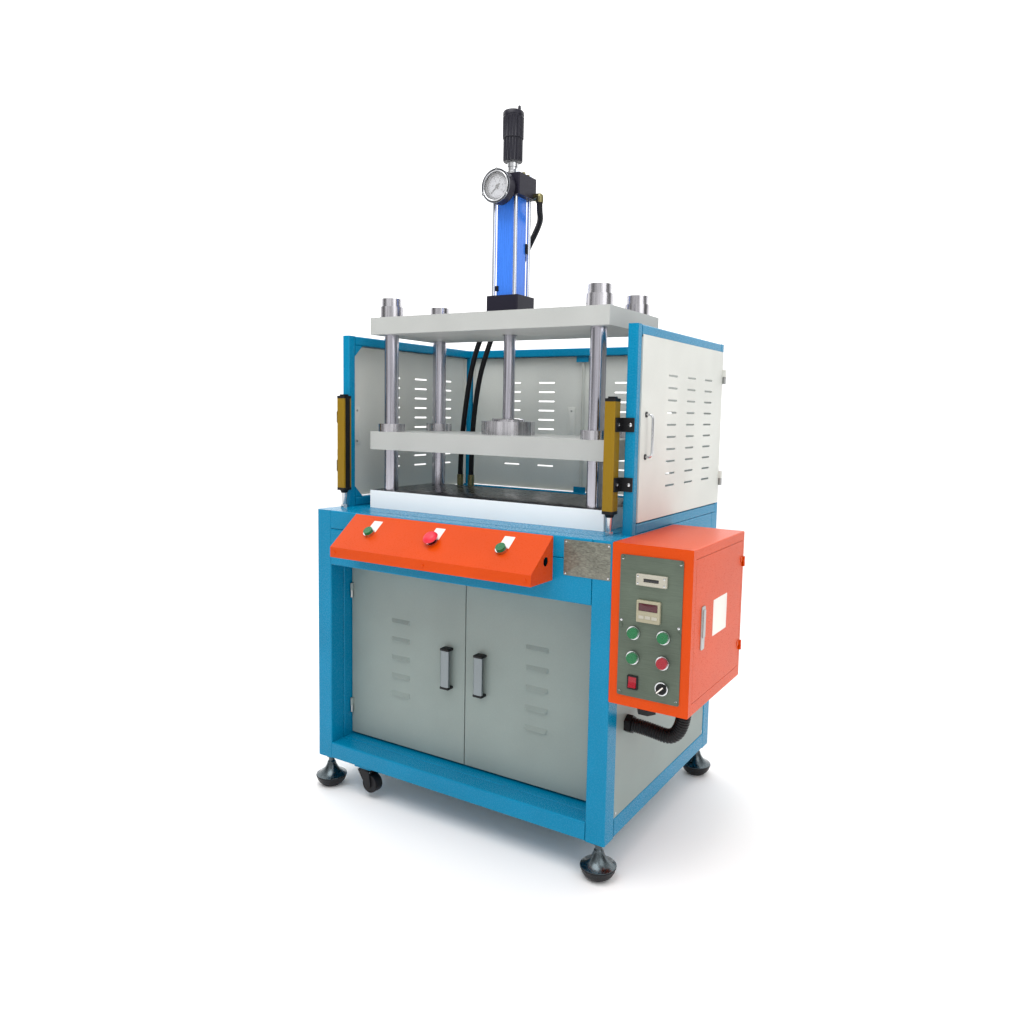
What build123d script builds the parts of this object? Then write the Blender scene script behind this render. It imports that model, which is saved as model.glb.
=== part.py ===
"""Four-column booster press on a cabinet, with its guard, light curtains and control box.

Millimetres, +Z up.  The drawing is made about the cabinet's centre line on the floor, and
the files are written about the middle of the whole machine's footprint.
"""
from build123d import *
import math
import os

os.makedirs("parts", exist_ok=True)

# Cabinet frame
cabinet_width = 900
cabinet_depth = 700
frame_bottom = 90
deck_height = 790
leg_size = 50
leg_wall = 3
tube_corner = 4
weld_gap = 0.2
lower_beam_height = 100
jamb_width = 40
jamb_depth = 50
bottom_rail_height = 45
deck_thickness = 6
panel_thickness = 2
panel_gap = 0.2
panel_recess = 2

# Cabinet doors
cabinet_door_recess = 80
cabinet_door_depth = 18
cabinet_door_sill_gap = 7
cabinet_door_head_gap = 4
door_skin = 1.5
door_side_gap = 2.5
door_middle_gap = 3
cabinet_louvre_pitch = 51
cabinet_louvre_rows = 5
cabinet_louvre_offset = 18

# Louvres
louvre_length = 65
louvre_height = 12
louvre_rise = 5
louvre_nose = 2
louvre_skin = 1.2

# Handles
handle_length = 110
handle_bar = 6
handle_foot = 12
cabinet_handle_reach = 22
cabinet_handle_width = 28
guard_handle_reach = 20
guard_handle_width = 10

# Hinges
knuckle_radius = 4.5
knuckle_length = 20
pin_radius = 2.5
small_knuckle_radius = 2.6
small_knuckle_length = 12
small_pin_radius = 1.3
pin_clearance = 0.06
hinge_gap = 0.4

# Upper guard
guard_setback = 97
guard_height = 480
guard_tube = 25
guard_wall = 2
guard_door_gap = 3
guard_door_depth = 14
guard_skin_gap = 0.5
guard_skin_lap = 6
guard_door_overlay = 16
guard_slot_length = 60
guard_slot_height = 5
guard_slot_pitch = 30
guard_slot_rows = 10
guard_slot_column_pitch = 130
guard_slot_drop = 2
guard_handle_inset = 30
stop_tab_width = 42
stop_tab_height = 18
gusset_size = 30
gusset_thickness = 3

# Light curtains
curtain_width = 27
curtain_depth = 30
curtain_length = 249
curtain_cap = 7
curtain_cone = 8
curtain_crown = 4
curtain_lift = 56
curtain_standoff = 3
right_curtain_inset = 10
bracket_thickness = 4
bracket_reach = 12
bracket_height = 32
bracket_rises = (61, 197)
plug_radius = 8

# Press
platen_width = 735
platen_depth = 290
platen_y = -85
lower_platen_thickness = 50
plate_thickness = 46
moving_platen_thickness = 50
moving_platen_rise = 215
top_plate_rise = 528
column_radius = 20
column_span_x = 644
column_span_y = 216
bushing_flange_radius = 38
bushing_flange_height = 22
bushing_body_radius = 28
running_gap = 0.05
nut_radius = 32
nut_lower_height = 30
nut_upper_radius = 28
nut_upper_height = 22
platen_bolt_spacing_x = 480
platen_bolt_spacing_y = 120
platen_bolt_radius = 5.1
platen_bolt_depth = 25

# Cylinder
block_width = 98
block_depth = 86
block_height = 55
tube_length = 254
cylinder_side = 62
cylinder_corner = 12
cylinder_bore_radius = 25
tie_rod_offset = 33
tie_rod_radius = 5
tie_nut_radius = 8
tie_nut_height = 9
rod_radius = 16
rod_flange_radius = 73
rod_flange_height = 36
rod_collar_radius = 45
rod_collar_height = 7
piston_height = 36
stroke_up = 90
stroke_down = 110
neck_height = 40
neck_radius = 13
booster_radius = 26
booster_lower_height = 59
booster_upper_radius = 28
booster_upper_height = 70
vent_radius = 4
vent_height = 12

# Pressure gauge
gauge_radius = 42.5
gauge_depth = 28
gauge_stem_length = 8
gauge_stem_radius = 9
gauge_face_depth = 10
gauge_rim = 5
gauge_rise = 16.5
needle_length = 25
needle_width = 4
needle_tail = 10
needle_rest = 50
gauge_lug = 9
needle_spindle_radius = 2

# Console
console_length = 606
console_shift = -3
console_depth = 95
console_rise = 76
console_lip = 26
console_top_drop = 2
console_wall = 2
console_button_left = 92
console_button_right = 108
side_hole_radius = 11

# Push buttons
panel_hole_radius = 11
bezel_radius = 14.75
bezel_height = 7
cap_radius = 12
cap_height = 7
cap_rest = 6
button_travel = 5
stem_radius = 4
stem_clearance = 0.1
barrel_length = 20
contact_block = 28
contact_block_depth = 22
mushroom_radius = 19.5
mushroom_height = 14
mushroom_rest = 8

# Control box
box_width = 185
box_depth = 350
box_height = 360
box_wall = 2
box_door_top = 21
box_door_bottom = 27
box_door_front = 19
box_door_rear = 12
box_door_gap = 1
box_door_depth = 16
control_plate_width = 144
control_plate_height = 312
control_plate_thickness = 2
window_margin = 14
device_depth = 60
counter_width = 70
counter_shift = 3
counter_height = 25
counter_rise = 286
display_width = 54
display_shift = -2
display_height = 48
display_rise = 218
device_bezel = 7
panel_column_pitch = 69
upper_button_rise = 168
lower_button_rise = 113
switch_rise = 57
rocker_width = 18
rocker_height = 24
rocker_frame = 3.5
rocker_tilt = -8
knob_radius = 12
knob_height = 8
knob_bar_height = 16
knob_bar_width = 7
lock_width = 20
lock_height = 95
lock_y_inset = 50
lock_rise = 182
lock_plate = 2
lever_width = 13
lever_height = 61
lever_thickness = 3

# Conduit
conduit_radius = 17
conduit_root_radius = 15
conduit_bore_radius = 12.5
conduit_rib_pitch = 6
conduit_bend = 46
conduit_setback = 110
conduit_reach = 138
conduit_sag = 15
conduit_drop = 85
conduit_wall_run = 26
gland_radius = 22
gland_length = 16
gland_thread_radius = 15
spare_gland_reach = 80
spare_gland_setback = 28

# Feet and casters
foot_inset = 25
foot_base_radius = 24
foot_rim_radius = 42
foot_rim_low = 26
foot_rim_high = 31
foot_neck_radius = 11
foot_neck_height = 66
stem_thread_radius = 8
stem_hole_clearance = 0.2
leg_foot_plate = 6
lock_nut_radius = 13
lock_nut_height = 10
caster_x = -288
caster_plate = 60
caster_plate_thickness = 3
caster_race_radius = 20
caster_race_height = 8
caster_pin_radius = 5
wheel_radius = 25
wheel_width = 28
wheel_ground_gap = 18
caster_trail = 18
fork_thickness = 3
fork_gap = 1.5
axle_radius = 4

# Air hoses
hose_radius = 8
hose_fitting_radius = 10
hose_fitting_height = 76
hose_hex_radius = 13
elbow_reach = 15
elbow_drop = 15
hose_hex_height = 22

# Screws
screw_radius = 3.5
screw_height = 2
screw_inset = 6

# Places worked out from the sizes above
half_width = cabinet_width / 2
half_depth = cabinet_depth / 2
inner_x = half_width - leg_size
inner_y = half_depth - leg_size
frame_height = deck_height - frame_bottom
beam_bottom = deck_height - leg_size - lower_beam_height
rail_top = frame_bottom + bottom_rail_height
upper_rail_bottom = deck_height - leg_size
door_y = -half_depth + cabinet_door_recess
door_face = guard_skin_gap + door_skin
guard_front = -half_depth + guard_setback
guard_top = deck_height + guard_height
guard_post_x = half_width - guard_tube / 2
guard_front_y = guard_front + guard_tube / 2
guard_rear_y = half_depth - guard_tube / 2
guard_inner_x = half_width - guard_tube
guard_inner_y = half_depth - guard_tube
lower_platen_top = deck_height + lower_platen_thickness
moving_platen_top = deck_height + moving_platen_rise
moving_platen_bottom = moving_platen_top - moving_platen_thickness
top_plate_top = deck_height + top_plate_rise
top_plate_bottom = top_plate_top - plate_thickness
cylinder_bottom = top_plate_top + block_height
cylinder_top = cylinder_bottom + tube_length
head_top = cylinder_top + block_height
gauge_z = cylinder_top + gauge_rise
booster_bottom = head_top + neck_height
booster_top = booster_bottom + booster_lower_height + booster_upper_height
piston_bottom = cylinder_bottom + (tube_length - piston_height - stroke_up - stroke_down) / 2 + stroke_down
box_left = half_width + weld_gap
box_right = box_left + box_width
box_bottom = deck_height - box_height
plate_x = box_left + box_width / 2
plate_z = box_bottom + box_height / 2
plate_front = -half_depth - control_plate_thickness
left_column_x = plate_x - panel_column_pitch / 2
right_column_x = plate_x + panel_column_pitch / 2
counter_z = box_bottom + counter_rise
display_z = box_bottom + display_rise
upper_button_z = box_bottom + upper_button_rise
lower_button_z = box_bottom + lower_button_rise
switch_z = box_bottom + switch_rise
lock_z = box_bottom + lock_rise
conduit_box_x = half_width + conduit_reach
conduit_y = -half_depth + conduit_setback
conduit_wall_z = box_bottom - conduit_drop
spare_gland_x = half_width + spare_gland_reach
spare_gland_y = -half_depth + spare_gland_setback

platen_center = Plane((0, platen_y, 0))


def block(x, y, z, mode=Mode.ADD):
    """A box between the low and high value of each axis."""
    with Locations(((x[0] + x[1]) / 2, (y[0] + y[1]) / 2, (z[0] + z[1]) / 2)):
        Box(x[1] - x[0], y[1] - y[0], z[1] - z[0], mode=mode)


def square_tube(plane, width, depth, length, wall):
    """A hollow rectangular tube with rounded corners, from a plane along its normal."""
    with BuildPart() as tube:
        with BuildSketch(plane):
            RectangleRounded(width, depth, tube_corner)
            Rectangle(width - 2 * wall, depth - 2 * wall, mode=Mode.SUBTRACT)
        extrude(amount=length)
    return tube.part


def capped_post(x, y, bottom, top, size, wall):
    """An upright square tube with a closed top."""
    with BuildPart() as post:
        with BuildSketch(Plane((x, y, bottom))):
            RectangleRounded(size, size, tube_corner)
        extrude(amount=top - bottom)
        with BuildSketch(Plane((x, y, bottom))):
            Rectangle(size - 2 * wall, size - 2 * wall)
        extrude(amount=top - bottom - wall, mode=Mode.SUBTRACT)
    return post.part


def tube_along_x(x, y, z, wall):
    """A rectangular tube along X between the low and high values of each axis."""
    start = Plane((x[0], sum(y) / 2, sum(z) / 2), x_dir=(0, 1, 0), z_dir=(1, 0, 0))
    return square_tube(start, y[1] - y[0], z[1] - z[0], x[1] - x[0], wall)


def tube_along_y(x, y, z, wall):
    """A rectangular tube along Y between the low and high values of each axis."""
    start = Plane((sum(x) / 2, y[0], sum(z) / 2), x_dir=(1, 0, 0), z_dir=(0, 1, 0))
    return square_tube(start, x[1] - x[0], z[1] - z[0], y[1] - y[0], wall)


def tube_along_z(x, y, z, wall):
    """A rectangular tube along Z between the low and high values of each axis."""
    start = Plane((sum(x) / 2, sum(y) / 2, z[0]))
    return square_tube(start, x[1] - x[0], y[1] - y[0], z[1] - z[0], wall)


def make_louvre_hood():
    """One pressed louvre: a hood that slopes out from its top edge and is open below."""
    with BuildPart() as hood:
        with BuildSketch(Plane.XY):
            Rectangle(louvre_length, louvre_height)
        with BuildSketch(Plane.XY.offset(louvre_rise)):
            with Locations((0, -(louvre_height - louvre_nose) / 2)):
                Rectangle(louvre_length - 2 * louvre_rise, louvre_nose)
        loft(ruled=True)
        with BuildSketch(Plane.XY.offset(-louvre_skin)):
            with Locations((0, -louvre_skin)):
                Rectangle(louvre_length - 2 * louvre_skin, louvre_height)
        with BuildSketch(Plane.XY.offset(louvre_rise - louvre_skin)):
            with Locations((0, -(louvre_height - louvre_nose) / 2 - louvre_skin)):
                Rectangle(louvre_length - 2 * louvre_rise - 2 * louvre_skin, louvre_nose)
        loft(ruled=True, mode=Mode.SUBTRACT)
    return hood.part


louvre_hood = make_louvre_hood()


def folded_pan(face, skin_size, skin_shift, pan_size, depth):
    """A folded sheet door: a flat skin with a rim of returns behind it."""
    with BuildPart() as pan:
        with BuildSketch(face):
            with Locations(skin_shift):
                Rectangle(*skin_size)
        extrude(amount=-door_skin)
        with BuildSketch(face.offset(-door_skin)):
            Rectangle(*pan_size)
            Rectangle(pan_size[0] - 2 * door_skin, pan_size[1] - 2 * door_skin, mode=Mode.SUBTRACT)
        extrude(amount=-depth + door_skin)
    return pan.part


def hinge_knuckle(x, y, z, radius=knuckle_radius, length=knuckle_length, pin=pin_radius):
    """The turning half of a hinge: a short sleeve round the pin."""
    with Locations((x, y, z + 1.5 * length + hinge_gap)):
        Cylinder(radius, length)
        Cylinder(pin + pin_clearance, length, mode=Mode.SUBTRACT)


def hinge_pin(x, y, z, radius=knuckle_radius, length=knuckle_length, pin=pin_radius):
    """The fixed half of a hinge: a knuckle with its pin standing in it."""
    with Locations((x, y, z + length / 2)):
        Cylinder(radius, length)
    with Locations((x, y, z + length + hinge_gap / 2 + length / 2)):
        Cylinder(pin, length + hinge_gap)


def bow_handle(base, reach, width):
    """A bow handle: two feet, a straight grip and rounded outer corners."""
    with BuildPart() as handle:
        with BuildSketch(base):
            with Locations((0, reach / 2)):
                RectangleRounded(handle_length, reach, handle_bar * 0.8)
            with Locations((0, handle_bar / 2)):
                Rectangle(handle_length, handle_bar)
            with Locations((0, (reach - handle_bar) / 2)):
                Rectangle(handle_length - 2 * handle_foot, reach - handle_bar, mode=Mode.SUBTRACT)
        extrude(amount=width / 2, both=True)
    return handle.part


# Welded cabinet frame: legs, beams, rails, jambs, the bearers under the press and the caster plates
def leg(x, y):
    """One leg: a square tube closed at the top, with the foot plate and its stem hole below."""
    with BuildPart() as post:
        with BuildSketch(Plane((x, y, frame_bottom))):
            RectangleRounded(leg_size, leg_size, tube_corner)
        extrude(amount=frame_height)
        with BuildSketch(Plane((x, y, frame_bottom + leg_foot_plate))):
            Rectangle(leg_size - 2 * leg_wall, leg_size - 2 * leg_wall)
        extrude(amount=frame_height - leg_foot_plate - leg_wall, mode=Mode.SUBTRACT)
        with BuildSketch(Plane((x, y, frame_bottom))):
            Circle(stem_thread_radius + stem_hole_clearance)
        extrude(amount=leg_foot_plate, mode=Mode.SUBTRACT)
    return post.part


leg_x = half_width - leg_size / 2
leg_y = half_depth - leg_size / 2
caster_points = ((caster_x, -leg_y), (caster_x, leg_y))
race_bottom = frame_bottom - weld_gap - caster_plate_thickness - caster_race_height
axle_z = wheel_ground_gap + wheel_radius
span_x = (-inner_x + weld_gap, inner_x - weld_gap)
span_y = (-inner_y + weld_gap, inner_y - weld_gap)
jamb_y = (-inner_y + weld_gap, -inner_y + jamb_depth)
header_x = (-inner_x + weld_gap, inner_x - weld_gap)
bearer_top = deck_height - deck_thickness - weld_gap
hose_deck_points = ((-326, 140), (-284, 140))

with BuildPart() as base_frame:
    for x in (-leg_x, leg_x):
        for y in (-leg_y, leg_y):
            add(leg(x, y))
    front = (-half_depth, -inner_y)
    rear = (inner_y, half_depth)
    add(tube_along_x(span_x, front, (upper_rail_bottom, deck_height), leg_wall))
    add(tube_along_x(span_x, front, (beam_bottom, upper_rail_bottom - weld_gap), leg_wall))
    add(tube_along_x(span_x, front, (frame_bottom, rail_top), leg_wall))
    add(tube_along_x(span_x, rear, (upper_rail_bottom, deck_height), leg_wall))
    add(tube_along_x(span_x, rear, (frame_bottom, rail_top), leg_wall))
    add(tube_along_x(header_x, jamb_y, (beam_bottom, beam_bottom + leg_size), leg_wall))
    add(tube_along_x(header_x, jamb_y, (frame_bottom, rail_top), leg_wall))
    for side in (-1, 1):
        outer = sorted((side * inner_x, side * half_width))
        jamb_x = sorted((side * inner_x, side * (inner_x + jamb_width)))
        bearer = sorted((side * (column_span_x - leg_size) / 2, side * (column_span_x + leg_size) / 2))
        add(tube_along_y(outer, span_y, (upper_rail_bottom, deck_height), leg_wall))
        add(tube_along_y(outer, span_y, (frame_bottom, rail_top), leg_wall))
        jamb_z = (rail_top + weld_gap, upper_rail_bottom - weld_gap)
        add(tube_along_z(jamb_x, jamb_y, jamb_z, leg_wall))
        add(tube_along_y(bearer, span_y, (bearer_top - leg_size, bearer_top), leg_wall))
    for x, y in caster_points:
        with BuildSketch(Plane((x, y, frame_bottom - weld_gap - caster_plate_thickness))):
            RectangleRounded(caster_plate, caster_plate * 0.75, 4)
        extrude(amount=caster_plate_thickness)
        with BuildSketch(Plane((x, y, race_bottom - fork_thickness - 2))):
            Circle(caster_pin_radius)
        extrude(amount=caster_race_height + fork_thickness + 2)

# Deck plate, flush with the rails and carried by the bearers
with BuildPart() as deck_plate:
    block((-inner_x + panel_gap, inner_x - panel_gap), (-inner_y + panel_gap, inner_y - panel_gap),
          (deck_height - deck_thickness, deck_height))
    with Locations(*[(x, y, deck_height) for x, y in hose_deck_points]):
        Hole(hose_hex_radius - 3, deck_thickness)

# Sheet panels that close the cabinet: two sides, the back and the floor
with BuildPart() as cabinet_panels:
    panel_z = (rail_top + panel_gap, upper_rail_bottom - panel_gap)
    panel_y = (-inner_y + panel_gap, inner_y - panel_gap)
    for side in (-1, 1):
        outer_face = half_width - panel_recess
        block(sorted((side * (outer_face - panel_thickness), side * outer_face)),
              panel_y, panel_z)
    block((-inner_x + panel_gap, inner_x - panel_gap),
          (half_depth - panel_recess - panel_thickness, half_depth - panel_recess), panel_z)
    block((-inner_x - jamb_width / 2, inner_x + jamb_width / 2),
          (-inner_y + jamb_depth + panel_gap, inner_y - panel_gap),
          (rail_top + weld_gap, rail_top + weld_gap + panel_thickness))

# Cabinet doors, hung on the jambs
cabinet_door_bottom = rail_top + cabinet_door_sill_gap
cabinet_door_top = beam_bottom - cabinet_door_head_gap
cabinet_door_height = cabinet_door_top - cabinet_door_bottom
cabinet_door_mid_z = (cabinet_door_top + cabinet_door_bottom) / 2
cabinet_door_width = inner_x - door_side_gap - door_middle_gap / 2
cabinet_door_mid_x = door_middle_gap / 2 + cabinet_door_width / 2
cabinet_hinge_x = inner_x - knuckle_radius - 1
cabinet_hinge_y = door_y - knuckle_radius - 0.5
cabinet_hinge_z = (cabinet_door_bottom + 60, cabinet_door_top - 60 - 2 * knuckle_length)
cabinet_handle_z = cabinet_door_mid_z + 5
cabinet_handle_x = 53


def cabinet_door():
    """The right-hand cabinet door with its louvres and hinge sleeves."""
    face = Plane((cabinet_door_mid_x, door_y, cabinet_door_mid_z), x_dir=(1, 0, 0), z_dir=(0, -1, 0))
    size = (cabinet_door_width, cabinet_door_height)
    louvre_face = Plane(face.origin + Vector(cabinet_louvre_offset, 0, 0), x_dir=(1, 0, 0), z_dir=(0, -1, 0))
    with BuildPart() as door:
        add(folded_pan(face, size, (0, 0), size, cabinet_door_depth))
        with BuildSketch(louvre_face):
            with GridLocations(louvre_length, cabinet_louvre_pitch, 1, cabinet_louvre_rows):
                Rectangle(louvre_length - 2 * louvre_skin, louvre_height - 2 * louvre_skin)
        extrude(amount=-door_skin, mode=Mode.SUBTRACT)
        with Locations(louvre_face):
            with GridLocations(louvre_length, cabinet_louvre_pitch, 1, cabinet_louvre_rows):
                add(louvre_hood)
        for z in cabinet_hinge_z:
            low = z + knuckle_length + hinge_gap
            block((cabinet_hinge_x - knuckle_radius, cabinet_hinge_x), (cabinet_hinge_y, door_y),
                  (low, low + knuckle_length))
            hinge_knuckle(cabinet_hinge_x, cabinet_hinge_y, z)
    return door.part


with BuildPart() as right_cabinet_door:
    add(cabinet_door())
with BuildPart() as left_cabinet_door:
    add(mirror(right_cabinet_door.part, about=Plane.YZ))

cabinet_handle_base = Plane((cabinet_handle_x, door_y, cabinet_handle_z), x_dir=(0, 0, 1), z_dir=(1, 0, 0))
with BuildPart() as right_cabinet_handle:
    add(bow_handle(cabinet_handle_base, cabinet_handle_reach, cabinet_handle_width))
with BuildPart() as left_cabinet_handle:
    add(mirror(right_cabinet_handle.part, about=Plane.YZ))

# Upper guard: four posts, side and rear rails, corner gussets and the rear stop tabs
post_z = (deck_height, guard_top)
low_rail_z = (deck_height, deck_height + guard_tube)
high_rail_z = (guard_top - guard_tube, guard_top)
side_rail_y = (guard_front + guard_tube + weld_gap, guard_inner_y - weld_gap)
rear_rail_x = (-guard_inner_x + weld_gap, guard_inner_x - weld_gap)
guard_opening_z = (deck_height + guard_tube, guard_top - guard_tube)
stop_tab_y = half_depth + door_face - guard_door_depth - 0.5 - gusset_thickness


def gusset(x, y, z, y_way, z_way):
    """A small triangular plate that stiffens one corner of a side opening."""
    with BuildPart() as plate:
        with BuildSketch(Plane((x, y, z), x_dir=(0, 1, 0), z_dir=(1, 0, 0))):
            Polygon((0, 0), (y_way * gusset_size, 0), (0, z_way * gusset_size), align=None)
        extrude(amount=gusset_thickness)
    return plate.part


with BuildPart() as guard_frame:
    for side in (-1, 1):
        add(capped_post(side * guard_post_x, guard_front_y, *post_z, guard_tube, guard_wall))
        add(capped_post(side * guard_post_x, guard_rear_y, *post_z, guard_tube, guard_wall))
        rail_x = sorted((side * guard_inner_x, side * half_width))
        add(tube_along_y(rail_x, side_rail_y, low_rail_z, guard_wall))
        add(tube_along_y(rail_x, side_rail_y, high_rail_z, guard_wall))
        plate_edge = guard_inner_x + 1 if side > 0 else -guard_inner_x - 1 - gusset_thickness
        for z, z_way in ((guard_opening_z[0], 1), (guard_opening_z[1], -1)):
            add(gusset(plate_edge, side_rail_y[0], z, 1, z_way))
    add(tube_along_x(rear_rail_x, (guard_inner_y, half_depth), low_rail_z, guard_wall))
    add(tube_along_x(rear_rail_x, (guard_inner_y, half_depth), high_rail_z, guard_wall))
    for z in (guard_opening_z[0] + stop_tab_height / 2, guard_opening_z[1] - stop_tab_height / 2):
        with Locations((0, stop_tab_y + gusset_thickness / 2, z)):
            Box(stop_tab_width, gusset_thickness, stop_tab_height)

# Guard side doors, hinged at the rear posts
side_door_front = guard_front + guard_tube + 2
side_door_rear = guard_inner_y + guard_door_overlay
side_pan_rear = guard_inner_y - guard_door_gap
guard_door_z = (guard_opening_z[0] + guard_door_gap, guard_opening_z[1] + guard_door_gap)
guard_pan_height = guard_opening_z[1] - guard_opening_z[0] - 2 * guard_door_gap
guard_door_mid_z = (guard_opening_z[0] + guard_opening_z[1]) / 2
side_hinge_x = half_width + door_face + knuckle_radius
side_hinge_y = side_door_rear + 2
guard_hinge_z = (guard_door_z[0] + 50, guard_door_z[1] - 50 - 2 * knuckle_length)
side_handle_y = side_door_front + guard_handle_inset
side_slot_y = 93


def guard_side_door():
    """The right-hand guard door: slotted skin outside the frame, returns inside the opening."""
    pan_mid = (side_door_front + side_pan_rear) / 2
    face = Plane((half_width + door_face, pan_mid, guard_door_mid_z), x_dir=(0, 1, 0), z_dir=(1, 0, 0))
    skin = (side_door_rear - side_door_front, guard_pan_height + guard_skin_lap)
    pan = (side_pan_rear - side_door_front, guard_pan_height)
    shift = ((side_door_rear - side_pan_rear) / 2, guard_skin_lap / 2)
    slot_face = Plane((half_width + door_face, side_slot_y, guard_door_mid_z - guard_slot_drop),
                      x_dir=(0, 1, 0), z_dir=(1, 0, 0))
    with BuildPart() as door:
        add(folded_pan(face, skin, shift, pan, guard_door_depth))
        with BuildSketch(slot_face):
            with GridLocations(guard_slot_column_pitch, guard_slot_pitch, 3, guard_slot_rows):
                SlotOverall(guard_slot_length, guard_slot_height)
        extrude(amount=-door_skin, mode=Mode.SUBTRACT)
        for z in guard_hinge_z:
            low = z + knuckle_length + hinge_gap
            block((half_width + guard_skin_gap, side_hinge_x), (side_door_rear - 4, side_hinge_y),
                  (low, low + knuckle_length))
            hinge_knuckle(side_hinge_x, side_hinge_y, z)
    return door.part


with BuildPart() as right_guard_door:
    add(guard_side_door())
with BuildPart() as left_guard_door:
    add(mirror(right_guard_door.part, about=Plane.YZ))

side_handle_base = Plane((half_width + door_face, side_handle_y, guard_door_mid_z - 12),
                         x_dir=(0, 0, 1), z_dir=(0, 1, 0))
with BuildPart() as right_guard_handle:
    add(bow_handle(side_handle_base, guard_handle_reach, guard_handle_width))
with BuildPart() as left_guard_handle:
    add(mirror(right_guard_handle.part, about=Plane.YZ))

# Rear guard doors that meet in the middle, hinged at the rear posts
rear_door_edge = guard_inner_x + guard_door_overlay - 5
rear_pan_edge = guard_inner_x - guard_door_gap
rear_hinge_x = rear_door_edge + 2
rear_hinge_y = half_depth + door_face + knuckle_radius
rear_slot_x = 202
rear_handle_x = 42


def rear_guard_door():
    """The rear door on the +X side."""
    pan_mid = (door_middle_gap / 2 + rear_pan_edge) / 2
    face = Plane((pan_mid, half_depth + door_face, guard_door_mid_z), x_dir=(-1, 0, 0), z_dir=(0, 1, 0))
    skin = (rear_door_edge - door_middle_gap / 2, guard_pan_height + guard_skin_lap)
    shift = (-(rear_door_edge - rear_pan_edge) / 2, guard_skin_lap / 2)
    pan = (rear_pan_edge - door_middle_gap / 2, guard_pan_height)
    slot_face = Plane((rear_slot_x, half_depth + door_face, guard_door_mid_z - guard_slot_drop),
                      x_dir=(-1, 0, 0), z_dir=(0, 1, 0))
    with BuildPart() as door:
        add(folded_pan(face, skin, shift, pan, guard_door_depth))
        with BuildSketch(slot_face):
            with GridLocations(guard_slot_column_pitch, guard_slot_pitch, 2, guard_slot_rows):
                SlotOverall(guard_slot_length, guard_slot_height)
        extrude(amount=-door_skin, mode=Mode.SUBTRACT)
        for z in guard_hinge_z:
            low = z + knuckle_length + hinge_gap
            block((rear_door_edge - 4, rear_hinge_x), (half_depth + guard_skin_gap, rear_hinge_y),
                  (low, low + knuckle_length))
            hinge_knuckle(rear_hinge_x, rear_hinge_y, z)
    return door.part


with BuildPart() as rear_right_door:
    add(rear_guard_door())

rear_handle_base = Plane((-rear_handle_x, half_depth + door_face, guard_door_mid_z),
                         x_dir=(0, 0, 1), z_dir=(-1, 0, 0))
with BuildPart() as rear_left_door:
    add(mirror(rear_right_door.part, about=Plane.YZ))
    add(bow_handle(rear_handle_base, guard_handle_reach, guard_handle_width))

# Light curtains in front of the posts, their black end caps and brackets, and their plugs
right_curtain_x = guard_inner_x - right_curtain_inset - curtain_width / 2
left_curtain_x = -guard_post_x + 11
curtain_y = guard_front - curtain_standoff - curtain_depth / 2
curtain_bottom = deck_height + curtain_lift
curtain_top = curtain_bottom + curtain_length
bracket_heights = [curtain_bottom + rise for rise in bracket_rises]
curtain_places = ((left_curtain_x, 1), (right_curtain_x, -1))

with BuildPart() as light_curtains:
    for x, inward in curtain_places:
        with BuildSketch(Plane((x, curtain_y, curtain_bottom))):
            RectangleRounded(curtain_width, curtain_depth, 3)
            with Locations((inward * curtain_width / 2, 0)):
                Rectangle(4, curtain_depth - 12, mode=Mode.SUBTRACT)
        extrude(amount=curtain_length)

with BuildPart() as curtain_brackets:
    for x, inward in curtain_places:
        for z in (curtain_bottom - curtain_cap - 0.1, curtain_top + 0.1):
            with BuildSketch(Plane((x, curtain_y, z))):
                RectangleRounded(curtain_width + 1, curtain_depth + 1, 4)
            extrude(amount=curtain_cap)
        with BuildSketch(Plane((x, curtain_y, curtain_top + curtain_cap + 0.1))):
            RectangleRounded(curtain_width - 10, curtain_depth - 10, 3)
        extrude(amount=curtain_crown)
        with BuildSketch(Plane((x, curtain_y, curtain_bottom - curtain_cap - 0.1))):
            Circle(plug_radius + 4)
        with BuildSketch(Plane((x, curtain_y, curtain_bottom - curtain_cap - curtain_cone - 0.1))):
            Circle(plug_radius + 0.5)
        loft()
        with BuildSketch(Plane((x + inward * (curtain_width / 2 - 1), curtain_y, curtain_bottom))):
            Rectangle(1.6, curtain_depth - 12.4)
        extrude(amount=curtain_length)
        outer = x - inward * (curtain_width / 2 + 0.1)
        for z in bracket_heights:
            height = (z - bracket_height / 2, z + bracket_height / 2)
            wing = sorted((outer, outer - inward * bracket_thickness))
            block(wing, (curtain_y - bracket_reach, guard_front - 0.2), height)
            foot_end = half_width - 1 if inward < 0 else -half_width + 1
            block(sorted((x, foot_end)), (guard_front - weld_gap - curtain_standoff + 0.4, guard_front - weld_gap),
                  height)

with BuildPart() as curtain_plugs:
    for x, inward in curtain_places:
        with BuildSketch(Plane((x, curtain_y, curtain_bottom - curtain_cap - curtain_cone - 0.2))):
            Circle(plug_radius)
        with BuildSketch(Plane((x, curtain_y, deck_height + 8))):
            Circle(plug_radius * 0.75)
        loft()
        with BuildSketch(Plane((x, curtain_y, deck_height + 0.2))):
            RegularPolygon(plug_radius + 2, 6)
        extrude(amount=7.8)

# Press: lower platen, columns, nuts and the fixed top plate
column_points = [(x * column_span_x / 2, platen_y + y * column_span_y / 2) for x in (-1, 1) for y in (-1, 1)]


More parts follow.
